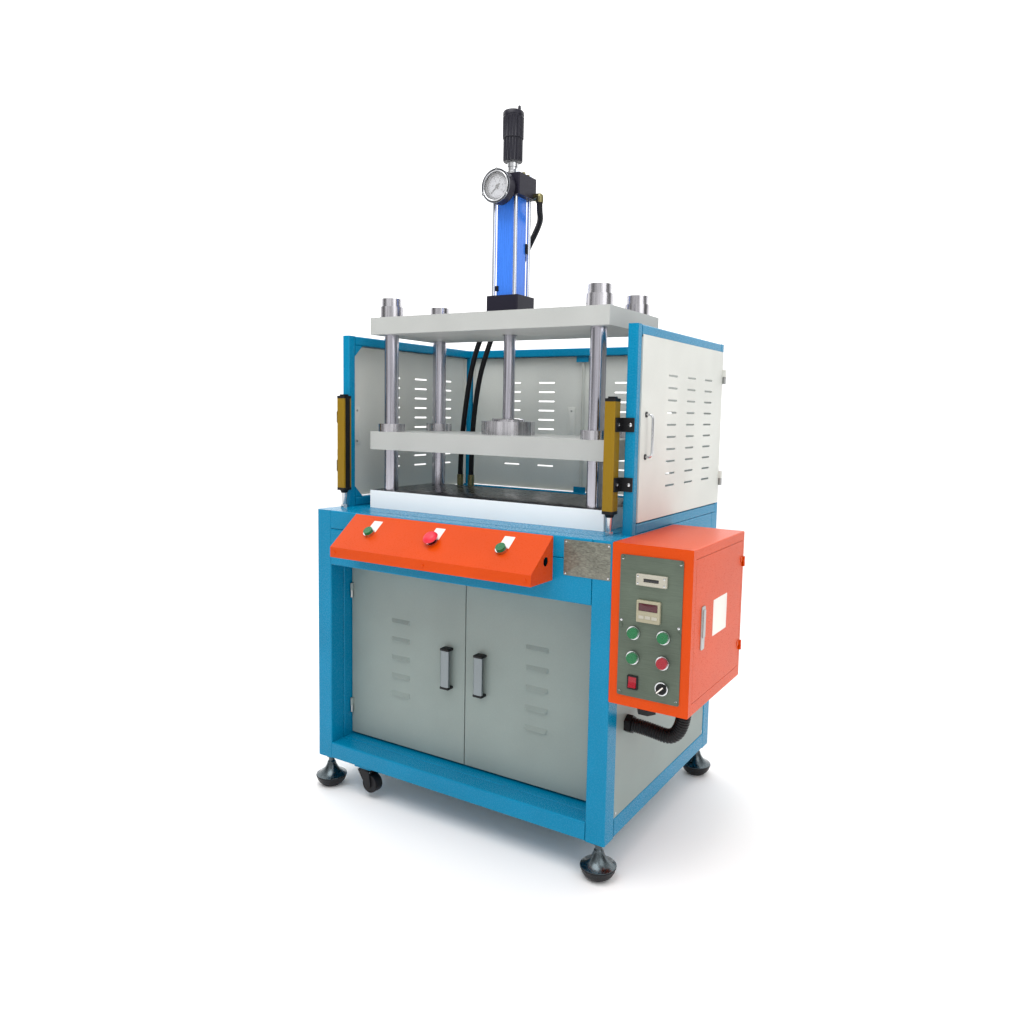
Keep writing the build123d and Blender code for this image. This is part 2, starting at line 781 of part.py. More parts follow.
def platen(bottom, thickness, hole_radius):
    """A thick rectangular plate with four round holes for the columns."""
    with BuildPart() as plate:
        with BuildSketch(Plane((0, platen_y, bottom))):
            Rectangle(platen_width, platen_depth)
            with GridLocations(column_span_x, column_span_y, 2, 2):
                Circle(hole_radius, mode=Mode.SUBTRACT)
        extrude(amount=thickness)
        chamfer(plate.edges().filter_by(Axis.Z).sort_by(SortBy.DISTANCE)[-4:], 1)
    return plate.part


with BuildPart() as lower_platen:
    add(platen(deck_height + weld_gap, lower_platen_thickness, column_radius + running_gap))
    with Locations((0, platen_y, lower_platen_top + weld_gap)):
        with GridLocations(platen_bolt_spacing_x, platen_bolt_spacing_y, 2, 2):
            Hole(platen_bolt_radius, platen_bolt_depth)

with BuildPart() as columns:
    for x, y in column_points:
        with BuildSketch(Plane((x, y, deck_height + weld_gap))):
            Circle(column_radius)
        extrude(amount=top_plate_top + nut_lower_height + nut_upper_height - deck_height - 2)
    chamfer(columns.faces().filter_by(Axis.Z).group_by(Axis.Z)[-1].edges(), 2)

with BuildPart() as column_nuts:
    for x, y in column_points:
        with BuildSketch(Plane((x, y, top_plate_top + weld_gap))):
            Circle(nut_radius)
            Circle(column_radius + running_gap, mode=Mode.SUBTRACT)
        extrude(amount=nut_lower_height)
        with BuildSketch(Plane((x, y, top_plate_top + 2 * weld_gap + nut_lower_height))):
            Circle(nut_upper_radius)
            Circle(column_radius + running_gap, mode=Mode.SUBTRACT)
        extrude(amount=nut_upper_height)

with BuildPart() as top_plate:
    add(platen(top_plate_bottom, plate_thickness, column_radius + running_gap))
    with Locations((0, platen_y, top_plate_top)):
        Hole(rod_radius + 4, plate_thickness)

# Moving platen with its guide bushings, rod flange, rod and piston
with BuildPart() as moving_platen:
    add(platen(moving_platen_bottom, moving_platen_thickness, bushing_body_radius))
    with Locations(Plane((0, platen_y, moving_platen_bottom), z_dir=(0, 0, -1))):
        with GridLocations(platen_bolt_spacing_x, platen_bolt_spacing_y, 2, 2):
            Hole(platen_bolt_radius, platen_bolt_depth)

with BuildPart() as guide_bushings:
    for x, y in column_points:
        with BuildSketch(Plane((x, y, moving_platen_bottom))):
            Circle(bushing_body_radius)
            Circle(column_radius + running_gap, mode=Mode.SUBTRACT)
        extrude(amount=moving_platen_thickness)
        with BuildSketch(Plane((x, y, moving_platen_top))):
            Circle(bushing_flange_radius)
            Circle(column_radius + running_gap, mode=Mode.SUBTRACT)
        extrude(amount=bushing_flange_height)

with BuildPart() as rod_flange:
    with BuildSketch(Plane((0, platen_y, moving_platen_top))):
        Circle(rod_flange_radius)
    extrude(amount=rod_flange_height)
    with BuildSketch(Plane((0, platen_y, moving_platen_top + rod_flange_height))):
        Circle(rod_collar_radius)
    extrude(amount=rod_collar_height)
    chamfer(rod_flange.edges().filter_by(GeomType.CIRCLE).group_by(Axis.Z)[-1], 2)
    with Locations((0, platen_y, moving_platen_top + rod_flange_height)):
        with PolarLocations((rod_flange_radius + rod_collar_radius) / 2, 6):
            CounterBoreHole(4.5, 7, 8, rod_flange_height)

with BuildPart() as piston_rod:
    with BuildSketch(Plane((0, platen_y, moving_platen_top + rod_flange_height + rod_collar_height))):
        Circle(rod_radius)
    extrude(amount=piston_bottom - moving_platen_top - rod_flange_height - rod_collar_height)
    with BuildSketch(Plane((0, platen_y, piston_bottom))):
        Circle(cylinder_bore_radius - running_gap)
    extrude(amount=piston_height)

# Cylinder: end blocks, square barrel, tie rods and the booster on top
with BuildPart() as cylinder_end_blocks:
    for bottom in (top_plate_top + weld_gap, cylinder_top + weld_gap):
        with BuildSketch(Plane((0, platen_y, bottom))):
            RectangleRounded(block_width, block_depth, 3)
        extrude(amount=block_height - 2 * weld_gap)
    with BuildSketch(Plane((0, platen_y, top_plate_top + weld_gap))):
        Circle(rod_radius + running_gap)
    extrude(amount=block_height - 2 * weld_gap, mode=Mode.SUBTRACT)

with BuildPart() as cylinder_tube:
    with BuildSketch(Plane((0, platen_y, cylinder_bottom))):
        RectangleRounded(cylinder_side, cylinder_side, cylinder_corner)
        Circle(cylinder_bore_radius, mode=Mode.SUBTRACT)
    extrude(amount=tube_length)

with BuildPart() as tie_rods:
    with BuildSketch(Plane((0, platen_y, cylinder_bottom))):
        with GridLocations(2 * tie_rod_offset, 2 * tie_rod_offset, 2, 2):
            Circle(tie_rod_radius)
    extrude(amount=tube_length)
    with BuildSketch(Plane((0, platen_y, head_top))):
        with GridLocations(2 * tie_rod_offset, 2 * tie_rod_offset, 2, 2):
            RegularPolygon(tie_nut_radius, 6)
    extrude(amount=tie_nut_height)

with BuildPart() as stroke_booster:
    with BuildSketch(Plane((0, platen_y, head_top))):
        RegularPolygon(neck_radius + 2, 6)
    extrude(amount=neck_height / 2)
    with BuildSketch(Plane((0, platen_y, head_top + neck_height / 2))):
        Circle(neck_radius)
    extrude(amount=neck_height / 2)
    with BuildSketch(Plane((0, platen_y, booster_bottom))):
        Circle(booster_radius)
    extrude(amount=booster_lower_height)
    with BuildSketch(Plane((0, platen_y, booster_bottom + booster_lower_height))):
        Circle(booster_upper_radius)
    extrude(amount=booster_upper_height)
    fillet(stroke_booster.edges().filter_by(GeomType.CIRCLE).group_by(Axis.Z)[-1], 4)
    with Locations((booster_upper_radius - 10, platen_y, booster_top + vent_height / 2)):
        Cylinder(vent_radius, vent_height)

# Pressure gauge on the front of the head block
gauge_front = platen_y - block_depth / 2 - gauge_stem_length - gauge_depth
gauge_plane = Plane((0, gauge_front, gauge_z), x_dir=(1, 0, 0), z_dir=(0, 1, 0))
with BuildPart() as pressure_gauge:
    with BuildSketch(gauge_plane):
        Circle(gauge_radius)
    extrude(amount=gauge_depth)
    with BuildSketch(gauge_plane):
        Circle(gauge_radius - gauge_rim)
    extrude(amount=gauge_face_depth, mode=Mode.SUBTRACT)
    with BuildSketch(gauge_plane):
        with PolarLocations(gauge_radius - 1, 3, start_angle=90):
            Rectangle(5, gauge_lug)
    extrude(amount=gauge_face_depth)
    with BuildSketch(gauge_plane.offset(gauge_depth)):
        Circle(gauge_stem_radius)
    extrude(amount=gauge_stem_length)
    with BuildSketch(gauge_plane.offset(gauge_face_depth)):
        Circle(needle_spindle_radius)
    extrude(amount=-4)

with BuildPart() as gauge_needle:
    needle_plane = gauge_plane.offset(gauge_face_depth - 3.5)
    with BuildSketch(needle_plane):
        Circle(5)
        Polygon((-needle_width / 2, -needle_tail), (needle_width / 2, -needle_tail), (0.4, needle_length),
                (-0.4, needle_length), rotation=needle_rest, align=None)
        Circle(needle_spindle_radius + running_gap, mode=Mode.SUBTRACT)
    extrude(amount=1)

# Brass fittings: hose tails on the deck, elbows on the cylinder and plugs on the head block
head_port = (block_width / 2, platen_y + 35, cylinder_top + 7)
low_port = (-18, platen_y + block_depth / 2, top_plate_top + 30)
elbow = (block_width / 2 + elbow_reach, head_port[1], head_port[2])
with BuildPart() as air_fittings:
    for x, y in hose_deck_points:
        with BuildSketch(Plane((x, y, deck_height + weld_gap))):
            RegularPolygon(hose_hex_radius, 6)
        extrude(amount=hose_hex_height)
        with BuildSketch(Plane((x, y, deck_height + hose_hex_height + weld_gap))):
            Circle(hose_fitting_radius)
        extrude(amount=hose_fitting_height - hose_hex_height)
    with BuildSketch(Plane(head_port, z_dir=(1, 0, 0))):
        Circle(hose_fitting_radius)
    extrude(amount=elbow_reach)
    with BuildSketch(Plane(elbow, z_dir=(0, 0, -1))):
        Circle(hose_fitting_radius)
    extrude(amount=elbow_drop)
    with Locations(elbow):
        Sphere(hose_fitting_radius)
    with BuildSketch(Plane(low_port, z_dir=(0, 1, 0))):
        Circle(hose_fitting_radius)
    extrude(amount=22)
    for x, y, radius in ((34, platen_y + 1, 5), (39, platen_y + 16, 3.5)):
        with BuildSketch(Plane((x, y, head_top))):
            Circle(radius)
        extrude(amount=2 * radius)


def hose(points):
    """A round hose: straight runs joined by tangent arcs as large as the runs allow."""
    vectors = [Vector(*point) for point in points]
    runs = [end - start for start, end in zip(vectors, vectors[1:])]
    radii = []
    for before, after in zip(runs, runs[1:]):
        turn = math.radians(before.get_angle(after))
        radii.append(0.45 * min(before.length, after.length) / math.tan(turn / 2))
    with BuildLine() as route:
        FilletPolyline(*vectors, radius=radii)
    with BuildPart() as tube:
        with BuildSketch(Plane(origin=vectors[0], z_dir=runs[0])):
            Circle(hose_radius)
        sweep(path=route.wires()[0])
    print("hose length", round(route.wires()[0].length, 1), "radii", [round(radius) for radius in radii],
          "volume ratio", round(tube.part.volume / (math.pi * hose_radius ** 2 * route.wires()[0].length), 4))
    return tube.part


def above_deck(points):
    """Points of a hose route, their heights counted from the deck."""
    return [(x, y, deck_height + rise) for x, y, rise in points]


deck_exit = deck_height + hose_fitting_height + 2 * weld_gap
left_hose_points = (
    (*hose_deck_points[0], deck_exit),
    *above_deck(((-325, 141, 150), (-317, 141, 230), (-303, 138, 315), (-284, 132, 395), (-256, 124, 472),
                 (-216, 112, 532), (-160, 94, 570), (-100, 66, 581), (-48, 30, 572))),
    (low_port[0], 2, low_port[2]), (low_port[0], low_port[1] + 22.2, low_port[2]))
right_hose_points = (
    (*hose_deck_points[1], deck_exit),
    *above_deck(((-284, 141, 150), (-280, 142, 230), (-270, 142, 315), (-250, 138, 400), (-215, 132, 482),
                 (-178, 122, 550), (-135, 108, 610), (-100, 90, 656), (-64, 68, 696), (-31, 44, 730),
                 (0, 22, 755), (29, 0, 776), (54, -26, 792))),
    (elbow[0], elbow[1], elbow[2] - 34), (elbow[0], elbow[1], elbow[2] - elbow_drop - weld_gap))
with BuildPart() as left_air_hose:
    add(hose(left_hose_points))
with BuildPart() as right_air_hose:
    add(hose(right_hose_points))

# Console on the front beam: a folded shell with a sloped face for the two-hand buttons
console_top = deck_height - console_top_drop
console_front = -half_depth - console_depth
console_slope_bottom = console_top - console_rise
console_bottom = console_slope_bottom - console_lip
console_ends = (console_shift - console_length / 2, console_shift + console_length / 2)
slope_length = math.hypot(console_depth, console_rise)
slope_normal = Vector(0, -console_rise, console_depth).normalized()
slope_middle = Vector(0, -half_depth - console_depth / 2, console_top - console_rise / 2)
outer_buttons = (console_ends[0] + console_button_left, console_ends[1] - console_button_right)
console_button_x = (outer_buttons[0], sum(outer_buttons) / 2, outer_buttons[1])
slope_faces = [Plane(slope_middle + Vector(x, 0, 0), x_dir=(1, 0, 0), z_dir=slope_normal)
               for x in console_button_x]


def console_profile(inset):
    """The console's side outline, drawn in by the sheet's thickness."""
    lean = inset * slope_length / console_depth
    ramp = console_rise / console_depth
    corner_z = console_slope_bottom + ramp * inset - lean
    Polygon((-half_depth, console_top - lean), (console_front + inset, corner_z),
            (console_front + inset, console_bottom + inset), (-half_depth, console_bottom + inset), align=None)


with BuildPart() as console_shell:
    with BuildSketch(Plane((console_ends[0], 0, 0), x_dir=(0, 1, 0), z_dir=(1, 0, 0))):
        console_profile(0)
    extrude(amount=console_length)
    with BuildSketch(Plane((console_ends[0] + console_wall, 0, 0), x_dir=(0, 1, 0), z_dir=(1, 0, 0))):
        console_profile(console_wall)
    extrude(amount=console_length - 2 * console_wall, mode=Mode.SUBTRACT)
    for face in slope_faces:
        with BuildSketch(face):
            Circle(panel_hole_radius + 0.2)
        extrude(amount=-2 * console_wall, mode=Mode.SUBTRACT)
    with BuildSketch(Plane((console_ends[1], -half_depth - 31, console_top - 55), z_dir=(1, 0, 0))):
        Circle(side_hole_radius)
    extrude(amount=-console_wall, mode=Mode.SUBTRACT)
    with Locations(Plane((console_shift, console_front, console_bottom + console_lip / 2),
                         x_dir=(1, 0, 0), z_dir=(0, -1, 0))):
        with GridLocations(console_length / 2 - 15, 1, 3, 1):
            Cylinder(screw_radius, screw_height, align=(Align.CENTER, Align.CENTER, Align.MIN))

# Control box on the right side, open on its right where the door closes it
box_left_in = box_left + box_wall
box_y = (-half_depth, -half_depth + box_depth)
box_z = (box_bottom, deck_height)
door_opening_y = (box_y[0] + box_door_front, box_y[1] - box_door_rear)
door_opening_z = (box_bottom + box_door_bottom, deck_height - box_door_top)
small_hinge = (small_knuckle_radius, small_knuckle_length, small_pin_radius)
box_hinge_x = box_right + small_knuckle_radius
box_hinge_y = box_y[1] - box_door_rear / 2 + 1
box_hinge_z = (door_opening_z[0] + 40, door_opening_z[1] - 40 - 2 * small_knuckle_length)

with BuildPart() as box_shell:
    block((box_left, box_right), box_y, box_z)
    fillet(box_shell.edges().filter_by(Axis.Y), 3)
    block((box_left_in, box_right - box_wall), (box_y[0] + box_wall, box_y[1] - box_wall),
          (box_z[0] + box_wall, box_z[1] - box_wall), mode=Mode.SUBTRACT)
    block((box_right - box_wall, box_right), door_opening_y, door_opening_z, mode=Mode.SUBTRACT)
    block((plate_x - control_plate_width / 2 + window_margin, plate_x + control_plate_width / 2 - window_margin),
          (box_y[0], box_y[0] + box_wall),
          (plate_z - control_plate_height / 2 + window_margin, plate_z + control_plate_height / 2 - window_margin),
          mode=Mode.SUBTRACT)
    with Locations((conduit_box_x, conduit_y, box_bottom + box_wall / 2),
                   (spare_gland_x, spare_gland_y, box_bottom + box_wall / 2)):
        Cylinder(gland_thread_radius + 0.2, box_wall, mode=Mode.SUBTRACT)

# Box door, flush in its opening and hinged at the rear, with the plate of its lock
lock_y = door_opening_y[0] + lock_y_inset
with BuildPart() as box_door:
    door_span_y = (door_opening_y[0] + box_door_gap, door_opening_y[1] - box_door_gap)
    door_span_z = (door_opening_z[0] + box_door_gap, door_opening_z[1] - box_door_gap)
    face = Plane((box_right, sum(door_span_y) / 2, sum(door_span_z) / 2), x_dir=(0, 1, 0), z_dir=(1, 0, 0))
    size = (door_span_y[1] - door_span_y[0], door_span_z[1] - door_span_z[0])
    with BuildSketch(face):
        Rectangle(*size)
    extrude(amount=-door_skin)
    with BuildSketch(face.offset(-door_skin)):
        Rectangle(*size)
        Rectangle(size[0] - 2 * door_skin, size[1] - 2 * door_skin, mode=Mode.SUBTRACT)
    extrude(amount=-box_door_depth + door_skin)
    for z in box_hinge_z:
        low = z + small_knuckle_length + hinge_gap
        leaf_z = (low, low + small_knuckle_length)
        block((box_right - 0.5, box_right + 1.2), (door_span_y[1] - 12, door_span_y[1]), leaf_z)
        block((box_right + weld_gap, box_right + 1.2), (door_span_y[1] - 12, box_hinge_y), leaf_z)
        hinge_knuckle(box_hinge_x, box_hinge_y, z, *small_hinge)
    with BuildSketch(Plane((box_right + weld_gap, lock_y, lock_z), x_dir=(0, 1, 0), z_dir=(1, 0, 0))):
        RectangleRounded(lock_width, lock_height, 4)
    extrude(amount=lock_plate)

# Lever of the flush lock, hinged at its lower end
lever_bottom = lock_z + 10 - lever_height / 2
with BuildPart() as box_lock:
    with BuildSketch(Plane((box_right + 2 * weld_gap + lock_plate, lock_y, lock_z + 10),
                           x_dir=(0, 1, 0), z_dir=(1, 0, 0))):
        Rectangle(lever_width, lever_height)
    extrude(amount=lever_thickness)
    fillet(box_lock.faces().sort_by(Axis.X)[-1].edges(), 1.2)

# Control plate and the devices on it
round_device_places = [(left_column_x, upper_button_z), (right_column_x, upper_button_z),
                       (left_column_x, lower_button_z), (right_column_x, lower_button_z),
                       (right_column_x, switch_z)]
with BuildPart() as control_plate:
    with BuildSketch(Plane((plate_x, -half_depth, plate_z), x_dir=(1, 0, 0), z_dir=(0, -1, 0))):
        RectangleRounded(control_plate_width, control_plate_height, 4)
        with Locations((counter_shift, counter_z - plate_z)):
            Rectangle(counter_width - 6, counter_height - 2, mode=Mode.SUBTRACT)
        with Locations((display_shift, display_z - plate_z)):
            Rectangle(display_width - 6, display_height - 6, mode=Mode.SUBTRACT)
        with Locations(*[(x - plate_x, z - plate_z) for x, z in round_device_places]):
            Circle(panel_hole_radius + 0.2, mode=Mode.SUBTRACT)
        with Locations((left_column_x - plate_x, switch_z - plate_z)):
            Rectangle(rocker_width + 3, rocker_height + 3, mode=Mode.SUBTRACT)
    extrude(amount=control_plate_thickness)
    with Locations(Plane((plate_x, plate_front, plate_z), x_dir=(1, 0, 0), z_dir=(0, -1, 0))):
        with GridLocations(control_plate_width - 2 * screw_inset, control_plate_height / 2 - screw_inset, 2, 3):
            Cylinder(screw_radius, screw_height, align=(Align.CENTER, Align.CENTER, Align.MIN))


def panel_device(x, z, width, height, inset):
    """A panel meter: a bezel on the plate, its window recess and the body behind."""
    front = Plane((x, plate_front - weld_gap, z), x_dir=(1, 0, 0), z_dir=(0, -1, 0))
    with BuildPart() as device:
        with BuildSketch(front):
            RectangleRounded(width, height, 2)
        extrude(amount=device_bezel)
        fillet(device.faces().sort_by(Axis.Y)[0].edges(), 1.5)
        with BuildSketch(front):
            Rectangle(width - inset - 0.4, height - inset - 0.4)
        extrude(amount=-device_depth)
    return device.part


with BuildPart() as digital_counter:
    add(panel_device(plate_x + counter_shift, counter_z, counter_width, counter_height, 6))
    window = Plane((plate_x + counter_shift, plate_front - weld_gap - device_bezel, counter_z),
                   x_dir=(1, 0, 0), z_dir=(0, -1, 0))
    with BuildSketch(window):
        Rectangle(counter_width * 0.5, counter_height * 0.32)
    extrude(amount=-2, mode=Mode.SUBTRACT)
with BuildPart() as temperature_display:
    add(panel_device(plate_x + display_shift, display_z, display_width, display_height, 10))
    window = Plane((plate_x + display_shift, plate_front - weld_gap - device_bezel,
                    display_z + display_height * 0.2), x_dir=(1, 0, 0), z_dir=(0, -1, 0))
    with BuildSketch(window):
        Rectangle(display_width - 10, display_height * 0.36)
    extrude(amount=-2, mode=Mode.SUBTRACT)


def panel_face(x, z):
    """The plane of the control plate's front at one device, its normal to the front."""
    return Plane((x, plate_front, z), x_dir=(1, 0, 0), z_dir=(0, -1, 0))


panel_button_faces = [panel_face(x, z) for x, z in round_device_places[:4]]
selector_face = panel_face(*round_device_places[4])
rocker_face = panel_face(left_column_x, switch_z)
round_faces = slope_faces + panel_button_faces + [selector_face]

# Bezel rings of the round devices
with BuildPart() as button_bezels:
    for face in round_faces:
        height = mushroom_rest - button_travel - 1 if face is slope_faces[1] else bezel_height
        with BuildSketch(face.offset(weld_gap)):
            Circle(bezel_radius)
            Circle(cap_radius + stem_clearance, mode=Mode.SUBTRACT)
        extrude(amount=height)

# Threaded barrels and contact blocks behind the panels, and the rocker's frame
with BuildPart() as switch_bodies:
    for face in round_faces:
        with BuildSketch(face):
            Circle(panel_hole_radius)
        extrude(amount=-barrel_length)
        with BuildSketch(face.offset(-barrel_length)):
            Rectangle(contact_block, contact_block)
        extrude(amount=-contact_block_depth)
        with BuildSketch(face):
            Circle(stem_radius + stem_clearance)
        extrude(amount=-barrel_length - contact_block_depth + 4, mode=Mode.SUBTRACT)
    with BuildSketch(rocker_face.offset(weld_gap)):
        RectangleRounded(rocker_width + 2 * rocker_frame, rocker_height + 2 * rocker_frame, 2)
        Rectangle(rocker_width + 1, rocker_height + 1, mode=Mode.SUBTRACT)
    extrude(amount=3)
    with BuildSketch(rocker_face.offset(weld_gap)):
        Rectangle(rocker_width + 2.6, rocker_height + 2.6)
        Rectangle(rocker_width + 1, rocker_height + 1, mode=Mode.SUBTRACT)
    extrude(amount=-14 - weld_gap)
    with BuildSketch(rocker_face.offset(-14)):
        Rectangle(rocker_width + 2.6, rocker_height + 2.6)
    extrude(amount=-12)


def push_cap(face):
    """A round push-button cap on its stem."""
    with BuildPart() as cap:
        with BuildSketch(face.offset(cap_rest)):
            Circle(cap_radius)
        extrude(amount=cap_height)
        with BuildSketch(face.offset(cap_rest)):
            Circle(stem_radius)
        extrude(amount=-cap_rest - barrel_length - contact_block_depth + 12)
    return cap.part


def mushroom_cap(face):
    """A mushroom head with a domed top, turned in one piece with its stem."""
    stem_end = -barrel_length - contact_block_depth + 12
    top = mushroom_rest + mushroom_height
    crown = mushroom_radius * 0.35
    with BuildPart() as turned:
        with BuildSketch(Plane.XZ):
            with BuildLine():
                Polyline((0, stem_end), (stem_radius, stem_end), (stem_radius, mushroom_rest),
                         (mushroom_radius * 0.6, mushroom_rest), (mushroom_radius, mushroom_rest + 5))
                ThreePointArc((mushroom_radius, mushroom_rest + 5),
                              (mushroom_radius * 0.78, mushroom_rest + mushroom_height * 0.8), (crown, top))
                Polyline((crown, top), (0, top), (0, stem_end))
            make_face()
        revolve(axis=Axis.Z)
    with BuildPart() as cap:
        with Locations(face):
            add(turned.part)
    return cap.part


with BuildPart() as left_start_button:
    add(push_cap(slope_faces[0]))
with BuildPart() as right_start_button:
    add(push_cap(slope_faces[2]))
with BuildPart() as stop_button:
    add(mushroom_cap(slope_faces[1]))
with BuildPart() as heater_button:
    add(push_cap(panel_button_faces[0]))
with BuildPart() as jog_button:
    add(push_cap(panel_button_faces[1]))
with BuildPart() as cycle_button:
    add(push_cap(panel_button_faces[2]))
with BuildPart() as reset_button:
    add(push_cap(panel_button_faces[3]))

# Rocker switch paddle: a shallow V that tips about its middle
with BuildPart() as rocker_switch:
    tip = rocker_height * 0.485
    with BuildSketch(Plane((left_column_x - rocker_width / 2, plate_front, switch_z),
                           x_dir=(0, 1, 0), z_dir=(1, 0, 0))):
        Polygon((-5, tip), (-3.4, 0), (-5, -tip), (4, -tip + 4), (8, 0), (4, tip - 4),
                rotation=rocker_tilt, align=None)
    extrude(amount=rocker_width)

# Selector knob: a disc with a raised finger bar
with BuildPart() as selector_knob:
    with BuildSketch(selector_face.offset(1)):
        Circle(knob_radius)
    extrude(amount=knob_height)
    with BuildSketch(selector_face.offset(1 + knob_height)):
        with Locations(Location((0, 0), 45)):
            SlotOverall(2 * knob_radius - 1, knob_bar_width)
    extrude(amount=knob_bar_height - knob_height)
    with BuildSketch(selector_face.offset(1)):
        Circle(stem_radius)
    extrude(amount=-barrel_length - 10)

# Corrugated conduit from the box to the cabinet side, and its glands
conduit_start_z = box_bottom - gland_length - weld_gap
conduit_end_x = half_width - panel_recess + gland_length + 2 * weld_gap
with BuildLine() as conduit_route:
    FilletPolyline((conduit_box_x, conduit_y, conduit_start_z),
                   (conduit_box_x, conduit_y, conduit_wall_z - conduit_sag),
                   (conduit_end_x + conduit_wall_run, conduit_y, conduit_wall_z),
                   (conduit_end_x, conduit_y, conduit_wall_z), radius=conduit_bend)
conduit_wire = conduit_route.wires()[0]
ribs = int(conduit_wire.length / conduit_rib_pitch)


def conduit_section(distance, radius):
    """One circle of the conduit, square to its route at a distance along it."""
    share = distance / conduit_wire.length
    way = conduit_wire.tangent_at(share)
    with BuildSketch(Plane(conduit_wire.position_at(share), x_dir=(0, 1, 0), z_dir=way)) as section:
        Circle(radius)
    return section.sketch.faces()[0]


with BuildPart() as conduit:
    sections = [conduit_section(0, conduit_root_radius)]
    for rib in range(ribs):
        start = (rib + 0.5) * conduit_wire.length / (ribs + 1)
        for share, radius in ((0.2, conduit_root_radius), (0.35, conduit_radius),
                              (0.75, conduit_radius), (0.9, conduit_root_radius)):
            sections.append(conduit_section(start + share * conduit_rib_pitch, radius))
    sections.append(conduit_section(conduit_wire.length, conduit_root_radius))
    loft(sections=sections, ruled=True)
    with BuildSketch(Plane(conduit_wire.position_at(0), x_dir=(0, 1, 0), z_dir=(0, 0, -1))):
        Circle(conduit_bore_radius)
    sweep(path=conduit_wire, mode=Mode.SUBTRACT)
print("conduit length", round(conduit_wire.length, 1), "ribs", ribs)


def gland(plane):
    """A hex cable gland: its nut outside the wall and its thread through the wall."""
    with BuildPart() as fitting:
        with BuildSketch(plane):
            RegularPolygon(gland_radius, 6)
        extrude(amount=gland_length)
        with BuildSketch(plane):
            Circle(gland_thread_radius)
        extrude(amount=-8)
    return fitting.part


with BuildPart() as conduit_glands:
    add(gland(Plane((conduit_box_x, conduit_y, box_bottom), z_dir=(0, 0, -1))))
    add(gland(Plane((spare_gland_x, spare_gland_y, box_bottom), z_dir=(0, 0, -1))))
    add(gland(Plane((half_width - panel_recess + weld_gap, conduit_y, conduit_wall_z), z_dir=(1, 0, 0))))

with BuildPart() as cabinet_panels_cut:
    add(cabinet_panels.part)
    with Locations(Plane((half_width, conduit_y, conduit_wall_z), z_dir=(1, 0, 0))):
        Cylinder(gland_thread_radius + 0.2, 20, mode=Mode.SUBTRACT)

# Fixed hinge halves with their pins, for the cabinet, the guard and the box
with BuildPart() as hinge_pins:
    for side in (-1, 1):
        for z in cabinet_hinge_z:
            hinge_pin(side * cabinet_hinge_x, cabinet_hinge_y, z)
            block(sorted((side * cabinet_hinge_x, side * (inner_x - weld_gap))),
                  (cabinet_hinge_y - 1, cabinet_hinge_y + 1), (z, z + knuckle_length))
            block(sorted((side * (inner_x - weld_gap - 1.2), side * (inner_x - weld_gap))),
                  (cabinet_hinge_y - 1, cabinet_hinge_y + 24), (z, z + knuckle_length))
        for z in guard_hinge_z:
            hinge_pin(side * side_hinge_x, side_hinge_y, z)
            block(sorted((side * (half_width + weld_gap), side * side_hinge_x)),
                  (side_hinge_y - 1, half_depth - 1), (z, z + knuckle_length))
            hinge_pin(side * rear_hinge_x, rear_hinge_y, z)
            block(sorted((side * (rear_hinge_x - 1), side * (half_width - 1))),
                  (half_depth + weld_gap, rear_hinge_y), (z, z + knuckle_length))
    for z in box_hinge_z:
        hinge_pin(box_hinge_x, box_hinge_y, z, *small_hinge)
        block((box_right + weld_gap, box_right + 1.2), (box_hinge_y, box_y[1] - 1),
              (z, z + small_knuckle_length))

# Levelling feet: a bowl under a flared cone, the threaded stem and the lock nut under each leg
with BuildPart() as levelling_feet:
    for x in (-leg_x, leg_x):
        for y in (-leg_y, leg_y):
            with BuildSketch(Plane((x, y, 0), x_dir=(1, 0, 0), z_dir=(0, -1, 0))):
                with BuildLine():
                    Polyline((0, 0), (foot_base_radius - 2, 0), (foot_base_radius, 2))
                    ThreePointArc((foot_base_radius, 2), (foot_rim_radius * 0.83, foot_rim_low * 0.42),
                                  (foot_rim_radius - 1, foot_rim_low))
                    Polyline((foot_rim_radius - 1, foot_rim_low), (foot_rim_radius, foot_rim_low + 1),
                             (foot_rim_radius, foot_rim_high))
                    ThreePointArc((foot_rim_radius, foot_rim_high),
                                  (foot_rim_radius * 0.55, foot_rim_high + 12),
                                  (foot_neck_radius, foot_neck_height))
                    Polyline((foot_neck_radius, foot_neck_height), (stem_thread_radius, foot_neck_height + 4),
                             (stem_thread_radius, frame_bottom + 30), (0, frame_bottom + 30), (0, 0))
                make_face()
            revolve(axis=Axis((x, y, 0), (0, 0, 1)))
            with BuildSketch(Plane((x, y, frame_bottom - lock_nut_height - weld_gap))):
                RegularPolygon(lock_nut_radius, 6)
                Circle(stem_thread_radius, mode=Mode.SUBTRACT)
            extrude(amount=lock_nut_height)

